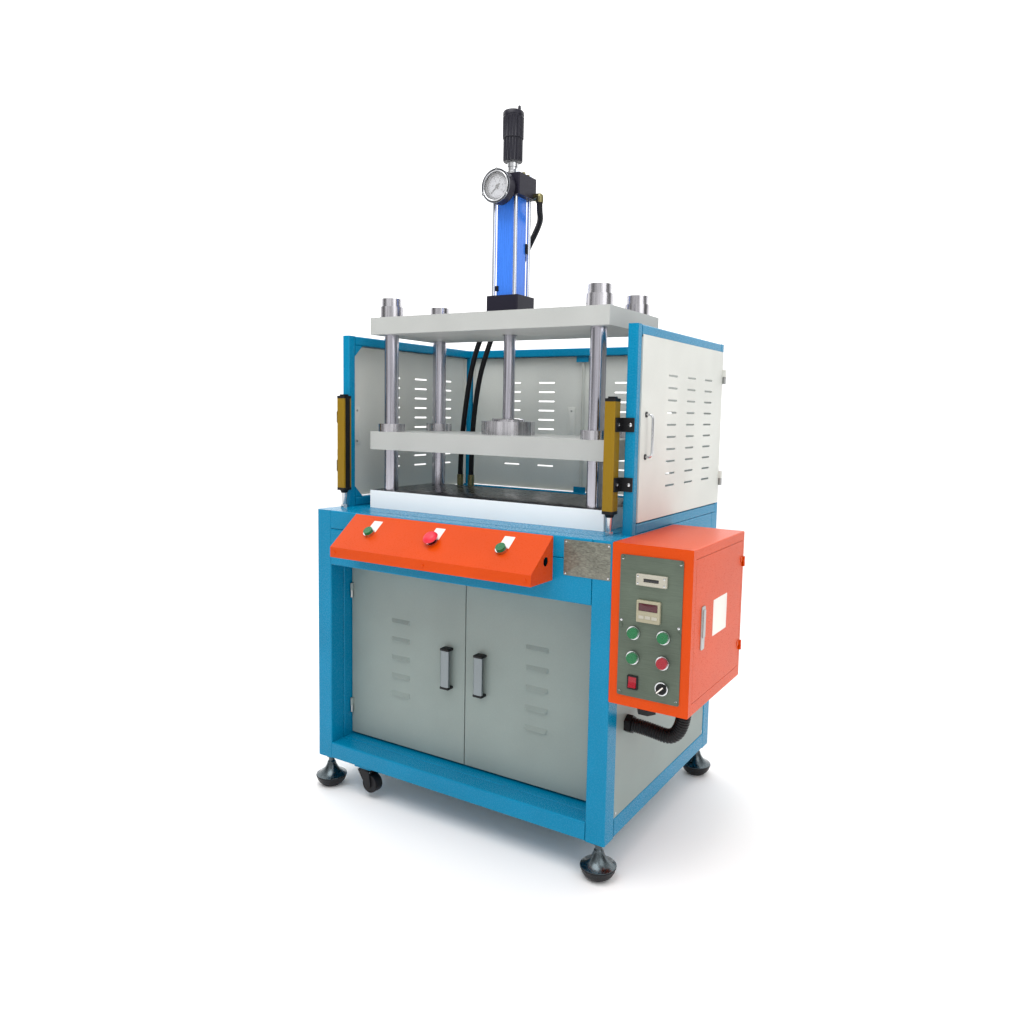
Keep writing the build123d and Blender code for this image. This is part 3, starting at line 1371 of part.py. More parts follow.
# Casters under the left end, clear of the floor while the feet carry the machine
def caster_fork(x, y):
    """A swivel fork: a race, a top web and two cheeks that carry the axle behind the pin."""
    cheek = wheel_width / 2 + fork_gap
    with BuildPart() as fork:
        with BuildSketch(Plane((x, y, race_bottom + 0.3))):
            Circle(caster_race_radius)
        extrude(amount=caster_race_height - 0.6)
        with BuildSketch(Plane((x, y, race_bottom - fork_thickness))):
            RectangleRounded(2 * caster_race_radius, 2 * (cheek + fork_thickness), 3)
        extrude(amount=fork_thickness + 0.3)
        for side in (-1, 1):
            start = y + side * cheek if side > 0 else y - cheek - fork_thickness
            with BuildSketch(Plane((x, start, race_bottom), x_dir=(1, 0, 0), z_dir=(0, 1, 0))):
                Polygon((-caster_race_radius, 0), (caster_race_radius, 0),
                        (caster_trail + 8, race_bottom - axle_z),
                        (caster_trail + 6, race_bottom - axle_z + 8),
                        (caster_trail - 8, race_bottom - axle_z + 8),
                        align=None)
            extrude(amount=fork_thickness)
        with BuildSketch(Plane((x, y, race_bottom - fork_thickness))):
            Circle(caster_pin_radius + running_gap)
        extrude(amount=fork_thickness + caster_race_height, mode=Mode.SUBTRACT)
        with BuildSketch(Plane((x + caster_trail, y - cheek - fork_thickness, axle_z),
                               x_dir=(1, 0, 0), z_dir=(0, 1, 0))):
            Circle(axle_radius)
        extrude(amount=2 * (cheek + fork_thickness))
    return fork.part


def caster_wheel(x, y):
    """A solid wheel with a rounded tread and a bore for the axle."""
    with BuildPart() as wheel:
        with BuildSketch(Plane((x + caster_trail, y - wheel_width / 2, axle_z),
                               x_dir=(1, 0, 0), z_dir=(0, 1, 0))):
            Circle(wheel_radius)
            Circle(axle_radius + running_gap, mode=Mode.SUBTRACT)
        extrude(amount=wheel_width)
        fillet(wheel.edges().filter_by(GeomType.CIRCLE).sort_by(SortBy.RADIUS)[-2:], 3)
    return wheel.part


with BuildPart() as front_caster_fork:
    add(caster_fork(*caster_points[0]))
with BuildPart() as rear_caster_fork:
    add(caster_fork(*caster_points[1]))
with BuildPart() as front_caster_wheel:
    add(caster_wheel(*caster_points[0]))
with BuildPart() as rear_caster_wheel:
    add(caster_wheel(*caster_points[1]))

# Write each piece about the middle of the footprint
pieces = {
    "base_frame": base_frame, "deck_plate": deck_plate, "cabinet_panels": cabinet_panels_cut,
    "right_cabinet_door": right_cabinet_door, "left_cabinet_door": left_cabinet_door,
    "right_cabinet_handle": right_cabinet_handle, "left_cabinet_handle": left_cabinet_handle,
    "guard_frame": guard_frame, "right_guard_door": right_guard_door, "left_guard_door": left_guard_door,
    "right_guard_handle": right_guard_handle, "left_guard_handle": left_guard_handle,
    "rear_right_door": rear_right_door, "rear_left_door": rear_left_door,
    "light_curtains": light_curtains, "curtain_brackets": curtain_brackets, "curtain_plugs": curtain_plugs,
    "lower_platen": lower_platen, "columns": columns, "column_nuts": column_nuts, "top_plate": top_plate,
    "moving_platen": moving_platen, "guide_bushings": guide_bushings, "rod_flange": rod_flange,
    "piston_rod": piston_rod, "cylinder_end_blocks": cylinder_end_blocks, "cylinder_tube": cylinder_tube,
    "tie_rods": tie_rods, "stroke_booster": stroke_booster, "pressure_gauge": pressure_gauge,
    "gauge_needle": gauge_needle, "air_fittings": air_fittings, "left_air_hose": left_air_hose,
    "right_air_hose": right_air_hose, "console_shell": console_shell, "box_shell": box_shell,
    "box_door": box_door, "box_lock": box_lock, "control_plate": control_plate,
    "digital_counter": digital_counter, "temperature_display": temperature_display,
    "button_bezels": button_bezels, "switch_bodies": switch_bodies, "left_start_button": left_start_button,
    "right_start_button": right_start_button, "stop_button": stop_button, "heater_button": heater_button,
    "jog_button": jog_button, "cycle_button": cycle_button, "reset_button": reset_button,
    "rocker_switch": rocker_switch, "selector_knob": selector_knob, "conduit": conduit,
    "conduit_glands": conduit_glands, "hinge_pins": hinge_pins, "levelling_feet": levelling_feet,
    "front_caster_fork": front_caster_fork, "rear_caster_fork": rear_caster_fork,
    "front_caster_wheel": front_caster_wheel, "rear_caster_wheel": rear_caster_wheel,
}
boxes = [piece.part.bounding_box() for piece in pieces.values()]
middle_x = (min(box.min.X for box in boxes) + max(box.max.X for box in boxes)) / 2
middle_y = (min(box.min.Y for box in boxes) + max(box.max.Y for box in boxes)) / 2
print("middle of the footprint", round(middle_x, 3), round(middle_y, 3))
for name, piece in pieces.items():
    placed = piece.part.moved(Location((-middle_x, -middle_y, 0)))
    placed.label = name
    export_step(placed, f"parts/{name}.step")
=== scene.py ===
"""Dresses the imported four-column press: finishes for every solid, and the fine pieces that ride on it.

Every length that a maker would call out is in millimetres about the middle of the cabinet on the
floor, and `spot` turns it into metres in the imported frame.
"""
import logging
import math
from dataclasses import dataclass, replace
from enum import Enum
from functools import cache

import bmesh
import bpy
import numpy as np
from mathutils import Matrix


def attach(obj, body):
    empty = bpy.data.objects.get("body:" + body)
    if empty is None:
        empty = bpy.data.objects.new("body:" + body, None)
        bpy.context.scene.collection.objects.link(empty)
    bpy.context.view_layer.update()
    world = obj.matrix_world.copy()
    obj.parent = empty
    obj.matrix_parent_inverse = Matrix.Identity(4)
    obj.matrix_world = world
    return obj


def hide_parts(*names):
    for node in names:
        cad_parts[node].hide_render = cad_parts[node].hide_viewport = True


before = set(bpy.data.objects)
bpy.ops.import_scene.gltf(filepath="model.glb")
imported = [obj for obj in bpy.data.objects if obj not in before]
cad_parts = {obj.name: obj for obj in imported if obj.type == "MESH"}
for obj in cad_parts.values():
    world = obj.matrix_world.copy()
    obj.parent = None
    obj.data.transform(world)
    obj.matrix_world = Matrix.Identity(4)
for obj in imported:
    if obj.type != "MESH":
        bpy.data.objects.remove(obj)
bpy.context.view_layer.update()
LOG = logging.getLogger("press")
Colour = tuple[float, float, float, float]
Point = tuple[float, float, float]
Pair = tuple[float, float]
MM = 0.001
CABINET = np.array([-84.3, 37.5, 0.0])
ROOT = "machine"
WHITE = (1.0, 1.0, 1.0, 1.0)


def spot(x: float, y: float, z: float) -> np.ndarray:
    """Turn millimetres from the cabinet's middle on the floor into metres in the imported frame."""
    return (np.array([x, y, z], float) + CABINET) * MM


def linear(code: str) -> Colour:
    """Turn an sRGB hex colour, such as "2ba0d2", into the linear values that shaders take."""
    parts = [int(code[i:i + 2], 16) / 255 for i in (0, 2, 4)]
    return tuple(p / 12.92 if p <= 0.04045 else ((p + 0.055) / 1.055) ** 2.4 for p in parts) + (1.0,)


# -------- finishes


def add_node(tree: bpy.types.NodeTree, kind: str, settings: dict | None = None,
             links: dict | None = None) -> bpy.types.Node:
    """Add one shader node.

    Args:
        tree: The material's node tree.
        kind: The node's type name.
        settings: Values by property name, or else by input name or number.
        links: Sockets to plug in, by input name or number.

    Returns:
        The new node.
    """
    node = tree.nodes.new(kind)
    for name, value in (settings or {}).items():
        if isinstance(name, str) and hasattr(node, name):
            setattr(node, name, value)
        else:
            node.inputs[name].default_value = value
    for name, socket in (links or {}).items():
        tree.links.new(socket, node.inputs[name])
    return node


def ramp(tree: bpy.types.NodeTree, factor: bpy.types.NodeSocket,
         stops: list[tuple[float, Colour]]) -> bpy.types.NodeSocket:
    """Map a factor to colours.

    Args:
        tree: The material's node tree.
        factor: The socket that drives the ramp.
        stops: Place and colour of each stop, in order.

    Returns:
        The ramp's colour socket.
    """
    node = add_node(tree, "ShaderNodeValToRGB", links={"Fac": factor})
    elements = node.color_ramp.elements
    while len(elements) < len(stops):
        elements.new(0.5)
    for element, (place, colour) in zip(elements, stops):
        element.position, element.color = place, colour
    return node.outputs["Color"]


def shade(colour: tuple[float, ...], factor: float) -> Colour:
    """A linear colour made darker or lighter by a factor."""
    return tuple(min(1.0, c * factor) for c in colour[:3]) + (1.0,)


@dataclass(frozen=True)
class Finish:
    """A surface finish: a base colour with a fine pattern in colour, roughness and relief.

    The pattern is noise read from object coordinates. `grain_mm` is the size of one grain, and
    `stretch` pulls the grain along each axis, as brushing, drawing or grinding does; on the bright metals the
    stretched dark and pale bands are painted reflections.
    """

    name: str
    colour: str
    roughness: float
    metallic: float = 0.0
    grain_mm: float = 2.0
    stretch: Point = (1.0, 1.0, 1.0)
    mottle: float = 0.05
    rough_spread: float = 0.08
    relief_mm: float = 0.02
    cloud_mm: float = 160.0
    cloud: float = 0.05
    coat: float = 0.0
    coat_roughness: float = 0.1
    specular: float = 0.35

    @cache
    def build(self) -> bpy.types.Material:
        """Make the material the first time it is asked for.

        Returns:
            The Blender material.
        """
        material = bpy.data.materials.new(self.name)
        material.use_nodes = True
        tree = material.node_tree
        tree.nodes.clear()
        base = linear(self.colour)
        place = add_node(tree, "ShaderNodeTexCoord").outputs["Object"]
        spread = add_node(tree, "ShaderNodeMapping", {"Scale": [1 / s for s in self.stretch]},
                          {"Vector": place})
        grain = add_node(tree, "ShaderNodeTexNoise",
                         {"Scale": 1 / (self.grain_mm * MM), "Detail": 3.0, "Roughness": 0.6},
                         {"Vector": spread.outputs["Vector"]})
        cloud = add_node(tree, "ShaderNodeTexNoise",
                         {"Scale": 1 / (self.cloud_mm * MM), "Detail": 2.0}, {"Vector": place})
        tone = ramp(tree, cloud.outputs["Fac"],
                    [(0.3, shade(base, 1 - self.cloud)), (0.7, shade(base, 1 + self.cloud))])
        # the grain darkens the colour by up to `mottle`; on the bright metals these dark and pale bands are
        # painted reflections
        grain_and_painted_reflection = ramp(tree, grain.outputs["Fac"],
                     [(0.3, (1 - self.mottle,) * 3 + (1.0,)), (0.7, WHITE)])
        colour = add_node(tree, "ShaderNodeMix",
                          {"data_type": "RGBA", "blend_type": "MULTIPLY", "Factor": 1.0},
                          {"A": tone, "B": grain_and_painted_reflection})
        rough = add_node(tree, "ShaderNodeMapRange",
                         {"From Min": 0.3, "From Max": 0.7,
                          "To Min": max(0.02, self.roughness - self.rough_spread),
                          "To Max": min(1.0, self.roughness + self.rough_spread)},
                         {"Value": grain.outputs["Fac"]})
        bump = add_node(tree, "ShaderNodeBump", {"Strength": 0.6, "Distance": self.relief_mm * MM},
                        {"Height": grain.outputs["Fac"]})
        shader = add_node(tree, "ShaderNodeBsdfPrincipled",
                          {"Metallic": self.metallic, "Coat Weight": self.coat,
                           "Coat Roughness": self.coat_roughness, "Specular IOR Level": self.specular},
                          {"Base Color": colour.outputs["Result"], "Roughness": rough.outputs["Result"],
                           "Normal": bump.outputs["Normal"]})
        add_node(tree, "ShaderNodeOutputMaterial", links={"Surface": shader.outputs["BSDF"]})
        return material


@dataclass(frozen=True)
class Glass:
    """Thin clear glass over a dial."""

    name: str = "float_glass"

    @cache
    def build(self) -> bpy.types.Material:
        """Make the material, mostly see-through with a sharp sheen, the first time it is asked for.

        Returns:
            The Blender material.
        """
        material = bpy.data.materials.new(self.name)
        material.use_nodes = True
        shader = material.node_tree.nodes["Principled BSDF"]
        shader.inputs["Base Color"].default_value = (0.97, 0.98, 0.98, 1.0)
        shader.inputs["Roughness"].default_value = 0.03
        shader.inputs["Alpha"].default_value = 0.14
        return material


class Paint(Enum):
    """The finishes of this machine."""

    # stoved enamel, sprayed: a slight orange peel softens its highlights
    FRAME_BLUE = Finish("blue_stoved_enamel", "007fa8", 0.26, grain_mm=3.0, relief_mm=0.008, specular=0.2)
    GUARD_GREY = Finish("pale_grey_stoved_enamel", "d3d5cf", 0.45, grain_mm=3.0, relief_mm=0.03)
    CABINET_GREY = Finish("mid_grey_stoved_enamel", "8a9692", 0.42, grain_mm=3.0, relief_mm=0.03)
    PLATEN_GREY = Finish("grey_stoved_enamel", "b4b6b3", 0.42, grain_mm=2.5, relief_mm=0.03)
    # the lower platen, grey enamel like the other plates, is coloured near white as a painted highlight where
    # its lit front burns out
    BED_WHITE = Finish("grey_enamel_painted_as_lit_white", "fcfcfb", 0.40, grain_mm=2.5, relief_mm=0.03, cloud=0.01,
                       mottle=0.01)
    # powder coat, cured: glossier, with a coarser peel
    ORANGE = Finish("orange_powder_coat", "d04500", 0.32, grain_mm=2.5, relief_mm=0.03, specular=0.16)
    # ground plate under an oil film: dark, cloudy and half mirror-like
    OILED = Finish("oiled_ground_plate", "4a4648", 0.26, 0.8, grain_mm=5.0, stretch=(6.0, 1, 1), mottle=0.25,
                   cloud=0.2, cloud_mm=90.0)
    # turned steel: the tool leaves rings, and dark and pale bands painted along its axis stand for the
    # reflections in the bright metal
    GROUND = Finish("turned_steel", "dddbe0", 0.24, 1.0, grain_mm=9.0, stretch=(1, 1, 40.0), mottle=0.5)
    # hard chrome on a ground column: mirror-like, with dark and pale bands painted along it as reflections
    CHROME = Finish("hard_chrome", "d6d4de", 0.20, 1.0, grain_mm=7.0, stretch=(1, 1, 60.0), mottle=0.42,
                    rough_spread=0.05, relief_mm=0.004)
    # drawn and polished tie rods: thin clean streaks
    ROD_CHROME = Finish("polished_tie_rod", "dfe4ee", 0.16, 1.0, grain_mm=1.0, stretch=(1, 1, 8.0),
                        rough_spread=0.05, relief_mm=0.004)
    # nickel plate on small fittings: bright, with hardly a grain
    NICKEL = Finish("nickel_plate", "cfd0d2", 0.20, 1.0, grain_mm=1.5, mottle=0.08, rough_spread=0.05)
    # polished casting: dark and pale patches painted on it as reflections of the room
    POLISHED = Finish("polished_zinc_casting", "8d9096", 0.16, 1.0, grain_mm=12.0, stretch=(1, 1, 6.0),
                      mottle=0.45)
    # blued turning: dark steel with tool rings
    DARK_STEEL = Finish("blued_steel_turning", "5d666a", 0.24, 1.0, grain_mm=5.0, stretch=(1, 1, 20.0),
                        mottle=0.4)
    # satin nickel on the flat grips: a soft grey sheen
    SATIN_NICKEL = Finish("satin_nickel", "868d90", 0.36, 1.0, grain_mm=1.5, mottle=0.1)
    # zinc plate: dull silver with a slight spangle
    ZINC = Finish("bright_zinc_plate", "b0b2b1", 0.34, 1.0, grain_mm=4.0, mottle=0.15)
    # anodised extrusion: drawing lines run up the barrel
    BARREL_BLUE = Finish("blue_anodised_aluminium", "3f84f4", 0.28, 0.1, grain_mm=1.0, stretch=(1, 1, 40.0),
                         mottle=0.12, coat=0.3)
    # anodised black: nearly matt, faintly violet
    BLACK_ANODISE = Finish("black_anodised_aluminium", "22202e", 0.42, 0.1, grain_mm=1.5, mottle=0.15,
                           specular=0.25)
    # moulded nylon and plastics: even, with a soft sheen
    RIBBED_BLACK = Finish("black_moulded_nylon", "1c1b26", 0.34, grain_mm=1.5, mottle=0.1, specular=0.3)
    BLACK_PLASTIC = Finish("black_abs", "141416", 0.42, grain_mm=0.8, specular=0.25)
    # smoked window: deep and glossy
    BLACK_GLOSS = Finish("smoked_acrylic", "0d0c10", 0.12, grain_mm=4.0, mottle=0.02, coat=0.5)
    # rubber and wheel tread: matt, finely pitted
    RUBBER = Finish("black_hose_rubber", "17171b", 0.50, grain_mm=1.2, relief_mm=0.04, mottle=0.15,
                    specular=0.25)
    WHEEL = Finish("black_polyurethane", "18181b", 0.48, grain_mm=2.0, relief_mm=0.03, specular=0.25)
    # enamelled extrusion: faint lines up the profile
    YELLOW = Finish("ochre_enamelled_aluminium", "8c6d08", 0.34, 0.1, grain_mm=2.0, stretch=(1, 1, 20.0),
                    specular=0.3)
    # brushed stainless sheet: long streaks across the plate
    PANEL_METAL = Finish("brushed_green_grey_sheet", "5f6a5d", 0.40, 0.35, grain_mm=0.9, stretch=(30.0, 1, 1),
                         mottle=0.25, cloud=0.16, cloud_mm=120.0)
    # etched plate: rough flecks, as worn print leaves
    NAMEPLATE = Finish("etched_aluminium", "8a8a7e", 0.45, 0.4, grain_mm=2.6, stretch=(2.5, 1, 1),
                       mottle=0.55, cloud=0.12, cloud_mm=40.0)
    # turned brass, a little dulled
    BRASS = Finish("turned_brass", "8c8560", 0.28, 1.0, grain_mm=1.0, mottle=0.15)
    # meter housings, filter window and laminate: smooth moulded plastics
    IVORY = Finish("ivory_abs", "b4b0a2", 0.38, grain_mm=1.5)
    BEIGE = Finish("beige_abs", "a49e86", 0.40, grain_mm=1.5)
    WINDOW_RED = Finish("red_filter_acrylic", "4c1620", 0.14, grain_mm=4.0, mottle=0.02, coat=0.4)
    WHITE_PRINT = Finish("white_engraved_laminate", "ece6de", 0.42, grain_mm=1.5)
    # button caps: clear-coated, lightly glossy
    GREEN = Finish("green_polycarbonate", "0b6a3a", 0.28, grain_mm=2.0, coat=0.2)
    RED = Finish("red_polycarbonate", "990a20", 0.28, grain_mm=2.0, coat=0.2)
    MUSHROOM_RED = Finish("red_moulded_polyamide", "e0283f", 0.36, grain_mm=2.0, coat=0.15)
    # the gauge's face: matt enamel, a dark ring of painted shadow round its rim, its ink and its glass
    DIAL_WHITE = Finish("white_dial_enamel", "bdbec4", 0.5, grain_mm=3.0)
    DIAL_SHADE = Finish("dial_rim_painted_shadow", "4b4a52", 0.4, grain_mm=3.0)
    DIAL_INK = Finish("black_dial_ink", "17181a", 0.5, grain_mm=1.0)
    GLASS = Glass()
    # seamless paper: no sheen and no pattern
    FLOOR = Finish("white_studio_floor", "f6f6f6", 0.9, grain_mm=20.0, rough_spread=0.0, relief_mm=0.0,
                   cloud=0.0, mottle=0.0, specular=0.0)


def stand(name: str, data: bpy.types.ID) -> bpy.types.Object:
    """Put a new object into the scene.

    Args:
        name: Its name.
        data: Its mesh, curve, text, camera or light.

    Returns:
        The object.
    """
    obj = bpy.data.objects.new(name, data)
    bpy.context.scene.collection.objects.link(obj)
    return obj


def turn_to(obj: bpy.types.Object, place: Point, axes: list[np.ndarray]) -> None:
    """Set an object at a place and turn it.

    Args:
        obj: The object.
        place: Its place in cabinet millimetres.
        axes: Its own X, Y and Z directions.
    """
    matrix = Matrix.Identity(4)
    for row in range(3):
        matrix[row][:3] = [axis[row] for axis in axes]
        matrix[row][3] = spot(*place)[row]
    obj.matrix_world = matrix


def coat_with(obj: bpy.types.Object, paint: Paint) -> None:
    """Give an object one finish in every slot.

    Args:
        obj: The object, whose data takes materials.
        paint: The finish.
    """
    material = paint.value.build()
    slots = obj.data.materials
    if not slots:
        slots.append(material)
    for i in range(len(slots)):
        slots[i] = material


# -------- surfaces


@dataclass(frozen=True)
class Seat:
    """A place on the machine with its own right, up and outward directions."""

    origin: Point
    right: Point = (1.0, 0.0, 0.0)
    up: Point = (0.0, 0.0, 1.0)
    out: Point = (0.0, -1.0, 0.0)

    def map(self, points: np.ndarray) -> np.ndarray:
        """Carry points, whose last axis holds right, up and out millimetres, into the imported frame.

        Each point is the origin plus each share of its direction, in metres.
        """
        axes = np.array([self.right, self.up, self.out], float)
        return (points @ axes + np.array(self.origin, float) + CABINET) * MM

    def moved(self, up: float, out: float = 0.0) -> "Seat":
        """The same seat, moved by some millimetres up and out."""
        origin = np.array(self.origin, float) + np.array(self.up) * up + np.array(self.out) * out
        return replace(self, origin=tuple(origin))


def front(x: float, y: float, z: float) -> Seat:
    """A seat that faces the operator."""
    return Seat((x, y, z))


def side(x: float, y: float, z: float) -> Seat:
    """A seat that faces +X."""
    return Seat((x, y, z), (0.0, 1.0, 0.0), out=(1.0, 0.0, 0.0))


def upright(x: float, y: float, z: float) -> Seat:
    """A seat that faces up."""
    return Seat((x, y, z), (1.0, 0.0, 0.0), (0.0, 1.0, 0.0), (0.0, 0.0, 1.0))


def surface(name: str, grid: np.ndarray, paint: Paint, body: str,
            smooth: bool = True) -> bpy.types.Object:
    """Make a mesh piece from a grid of points and seat it on a body.

    Face (i, j) joins points (i, j), (i, j + 1), (i + 1, j + 1) and (i + 1, j), and the last column
    joins the first.

    Args:
        name: The piece's name.
        grid: Points in metres, shaped rows by columns by three.
        paint: The finish.
        body: The body that it rides on.
        smooth: Whether faces are shaded smooth below a 35 degree bend.

    Returns:
        The finished piece.
    """
    rows, columns = grid.shape[:2]
    i, j = np.meshgrid(np.arange(rows - 1), np.arange(columns), indexing="ij")
    beside = (j + 1) % columns
    faces = np.stack([i * columns + j, i * columns + beside, (i + 1) * columns + beside,
                      (i + 1) * columns + j], -1)
    mesh = bpy.data.meshes.new(name)
    mesh.from_pydata(grid.reshape(-1, 3).tolist(), [], faces.reshape(-1, 4).tolist())
    return finish_mesh(name, mesh, paint, body, smooth)


def finish_mesh(name: str, mesh: bpy.types.Mesh, paint: Paint, body: str,
                smooth: bool = True) -> bpy.types.Object:
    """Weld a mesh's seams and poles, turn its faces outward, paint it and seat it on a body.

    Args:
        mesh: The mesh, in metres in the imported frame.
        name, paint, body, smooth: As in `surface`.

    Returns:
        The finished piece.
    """
    work = bmesh.new()
    work.from_mesh(mesh)
    bmesh.ops.remove_doubles(work, verts=work.verts, dist=2e-6)
    bmesh.ops.dissolve_degenerate(work, edges=work.edges, dist=1e-6)
    bmesh.ops.recalc_face_normals(work, faces=work.faces)
    work.to_mesh(mesh)
    work.free()
    obj = stand(name, mesh)
    if smooth:
        mesh.shade_smooth()
        mesh.set_sharp_from_angle(angle=math.radians(35))
    coat_with(obj, paint)
    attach(obj, body)
    return obj


def joined(name: str, parts: list[bpy.types.Object], body: str) -> bpy.types.Object:
    """Join small pieces of one finish into one piece.

    Args:
        parts: The pieces, all on the same body.
        name, body: As in `surface`, for the joined piece.

    Returns:
        The joined piece.
    """
    work = bmesh.new()
    for part in parts:
        work.from_mesh(part.data)
    mesh = bpy.data.meshes.new(name)
    work.to_mesh(mesh)
    work.free()
    mesh.materials.append(parts[0].data.materials[0])
    whole = stand(name, mesh)
    for part in parts:
        bpy.data.objects.remove(part)
    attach(whole, body)
    return whole


def group(name: str, grids: list[np.ndarray], paint: Paint, body: str,
          smooth: bool = True) -> bpy.types.Object:
    """Make one piece from several grids of one finish.

    Args:
        grids: The grids, each as in `surface`.
        name, paint, body, smooth: As in `surface`.

    Returns:
        The joined piece.
    """
    parts = [surface(f"{name}_{k}", grid, paint, body, smooth=smooth) for k, grid in enumerate(grids)]
    return joined(name, parts, body)


def lathe(seat: Seat, profile: list[Pair], sides: int = 48,
          wave: tuple[int, float, int, int] | None = None) -> np.ndarray:
    """Turn a profile round the seat's outward axis.

    Point (i, j) lies at radius r_i and height h_i, at the angle 2 pi j / sides; where a wave is
    given, the radius of its rows shrinks by depth times the square of the sine of half its count
    times that angle, which cuts round flutes.

    Args:
        seat: The axis and its origin.
        profile: Radius and height of each row, in order.
        sides: How many columns.
        wave: Count of flutes, their depth, and the first and last row that they cut.

    Returns:
        The grid of points in metres.
    """
    r, h = (np.array(values, float)[:, None] for values in zip(*profile))
    angle = np.linspace(0, 2 * math.pi, sides, endpoint=False)[None, :]
    reach = np.repeat(r, sides, axis=1)
    if wave:
        count, depth, first, last = wave
        reach[first:last + 1] -= depth * np.sin(count * angle / 2) ** 2
    grid = np.stack([reach * np.cos(angle), reach * np.sin(angle), h + 0 * angle], -1)
    return seat.map(grid)


def plate(seat: Seat, width: float, height: float, corner: float, thick: float, edge: float = 0.4,
          arc: int = 6) -> np.ndarray:
    """A flat plate with rounded corners and a softened edge.

    Its outline is four quarter arcs; row by row it rises from the seat, runs up the edge, leans in
    by `edge` over the last part of the thickness, and closes at the middle.

    Args:
        seat: The middle of its back, facing out.
        width, height: Its size across and up.
        corner: The corners' radius.
        thick: Its thickness.
        edge: How far the top edge is eased.
        arc: Points on each corner.

    Returns:
        The grid of points in metres.
    """
    turn = np.concatenate([np.linspace(q, q + 1, arc) for q in range(4)]) * math.pi / 2
    sign_x = np.repeat([1, -1, -1, 1], arc)
    sign_y = np.repeat([1, 1, -1, -1], arc)
    rows = []
    for inset, rise in ((None, 0.0), (0.0, 0.0), (0.0, thick - edge), (edge * 0.3, thick - edge * 0.3),
                        (edge, thick), (None, thick)):
        if inset is None:
            rows.append(np.stack([0 * turn, 0 * turn, 0 * turn + rise], -1))
            continue
        radius = max(corner - inset, 0.01)
        x = sign_x * (width / 2 - corner) + radius * np.cos(turn)
        y = sign_y * (height / 2 - corner) + radius * np.sin(turn)
        rows.append(np.stack([x, y, 0 * turn + rise], -1))
    return seat.map(np.array(rows))


def corners(x: float, y: float) -> tuple[Pair, ...]:
    """The four corners of a rectangle, from its half width and half height."""
    return (-x, -y), (x, -y), (-x, y), (x, y)


def screw_head(seat: Seat, radius: float, height: float) -> np.ndarray:
    """A pan head: a low dome whose height falls as the square of the distance from its axis.

    Args:
        seat: The middle of its underside, facing out.
        radius, height: Its size.

    Returns:
        The grid of points in metres.
    """
    steps = np.linspace(1, 0, 5)
    dome = [(radius * s, height * (0.55 + 0.45 * (1 - s * s))) for s in steps]
    return lathe(seat, [(0.0, 0.0), (radius, 0.0)] + dome, 20)


def route_points(points: tuple[Point, ...]) -> bpy.types.Curve:
    """A smooth route: a NURBS spline of order three.

    Args:
        points: Its control points in cabinet millimetres.

    Returns:
        The curve's data.
    """
    curve = bpy.data.curves.new("route", "CURVE")
    curve.dimensions = "3D"
    curve.resolution_u = 12
    spline = curve.splines.new("NURBS")
    spline.points.add(len(points) - 1)
    for point, place in zip(spline.points, points):
        point.co = (*spot(*place), 1.0)
    spline.order_u = 3
    spline.use_endpoint_u = True
    return curve


def meshed(name: str, data: bpy.types.Curve) -> bpy.types.Mesh:
    """Turn a curve or a text into a mesh.

    Args:
        name: A name for the object that holds it meanwhile.
        data: The curve or the text.

    Returns:
        The mesh.
    """
    holder = stand(name, data)
    bpy.context.view_layer.update()
    mesh = bpy.data.meshes.new_from_object(holder)
    bpy.data.objects.remove(holder)
    return mesh


# -------- sub-assemblies


@dataclass
class AirHoses:
    """Two rubber air hoses from the deck to the cylinder."""

    radius: float = 8.0
    left: tuple[Point, ...] = (
        (-326, 140, 866.4), (-325, 141, 940), (-317, 141, 1020), (-303, 138, 1105), (-284, 132, 1185),
        (-256, 124, 1262), (-216, 112, 1322), (-160, 94, 1360), (-100, 66, 1371), (-48, 30, 1362),
        (-18, 2, 1348), (-18, -19.8, 1348))
    right: tuple[Point, ...] = (
        (-284, 140, 866.4), (-284, 141, 940), (-280, 142, 1020), (-270, 142, 1105), (-250, 138, 1190),
        (-215, 132, 1272), (-178, 122, 1340), (-135, 108, 1400), (-100, 90, 1446), (-64, 68, 1486),
        (-31, 44, 1520), (0, 22, 1545), (29, 0, 1566), (54, -26, 1582), (64, -50, 1600), (64, -50, 1618.8))

    def build(self) -> None:
        """Lay both hoses along their routes."""
        for name, points, length in (("left_hose", self.left, 0.740), ("right_hose", self.right, 0.916)):
            curve = route_points(points)
            curve.bevel_depth = self.radius * MM
            curve.bevel_resolution = 6
            curve.use_fill_caps = True
            hose = stand(name, curve)
            coat_with(hose, Paint.RUBBER)
            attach(hose, ROOT)
            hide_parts(f"{name[:-5]}_air_hose")


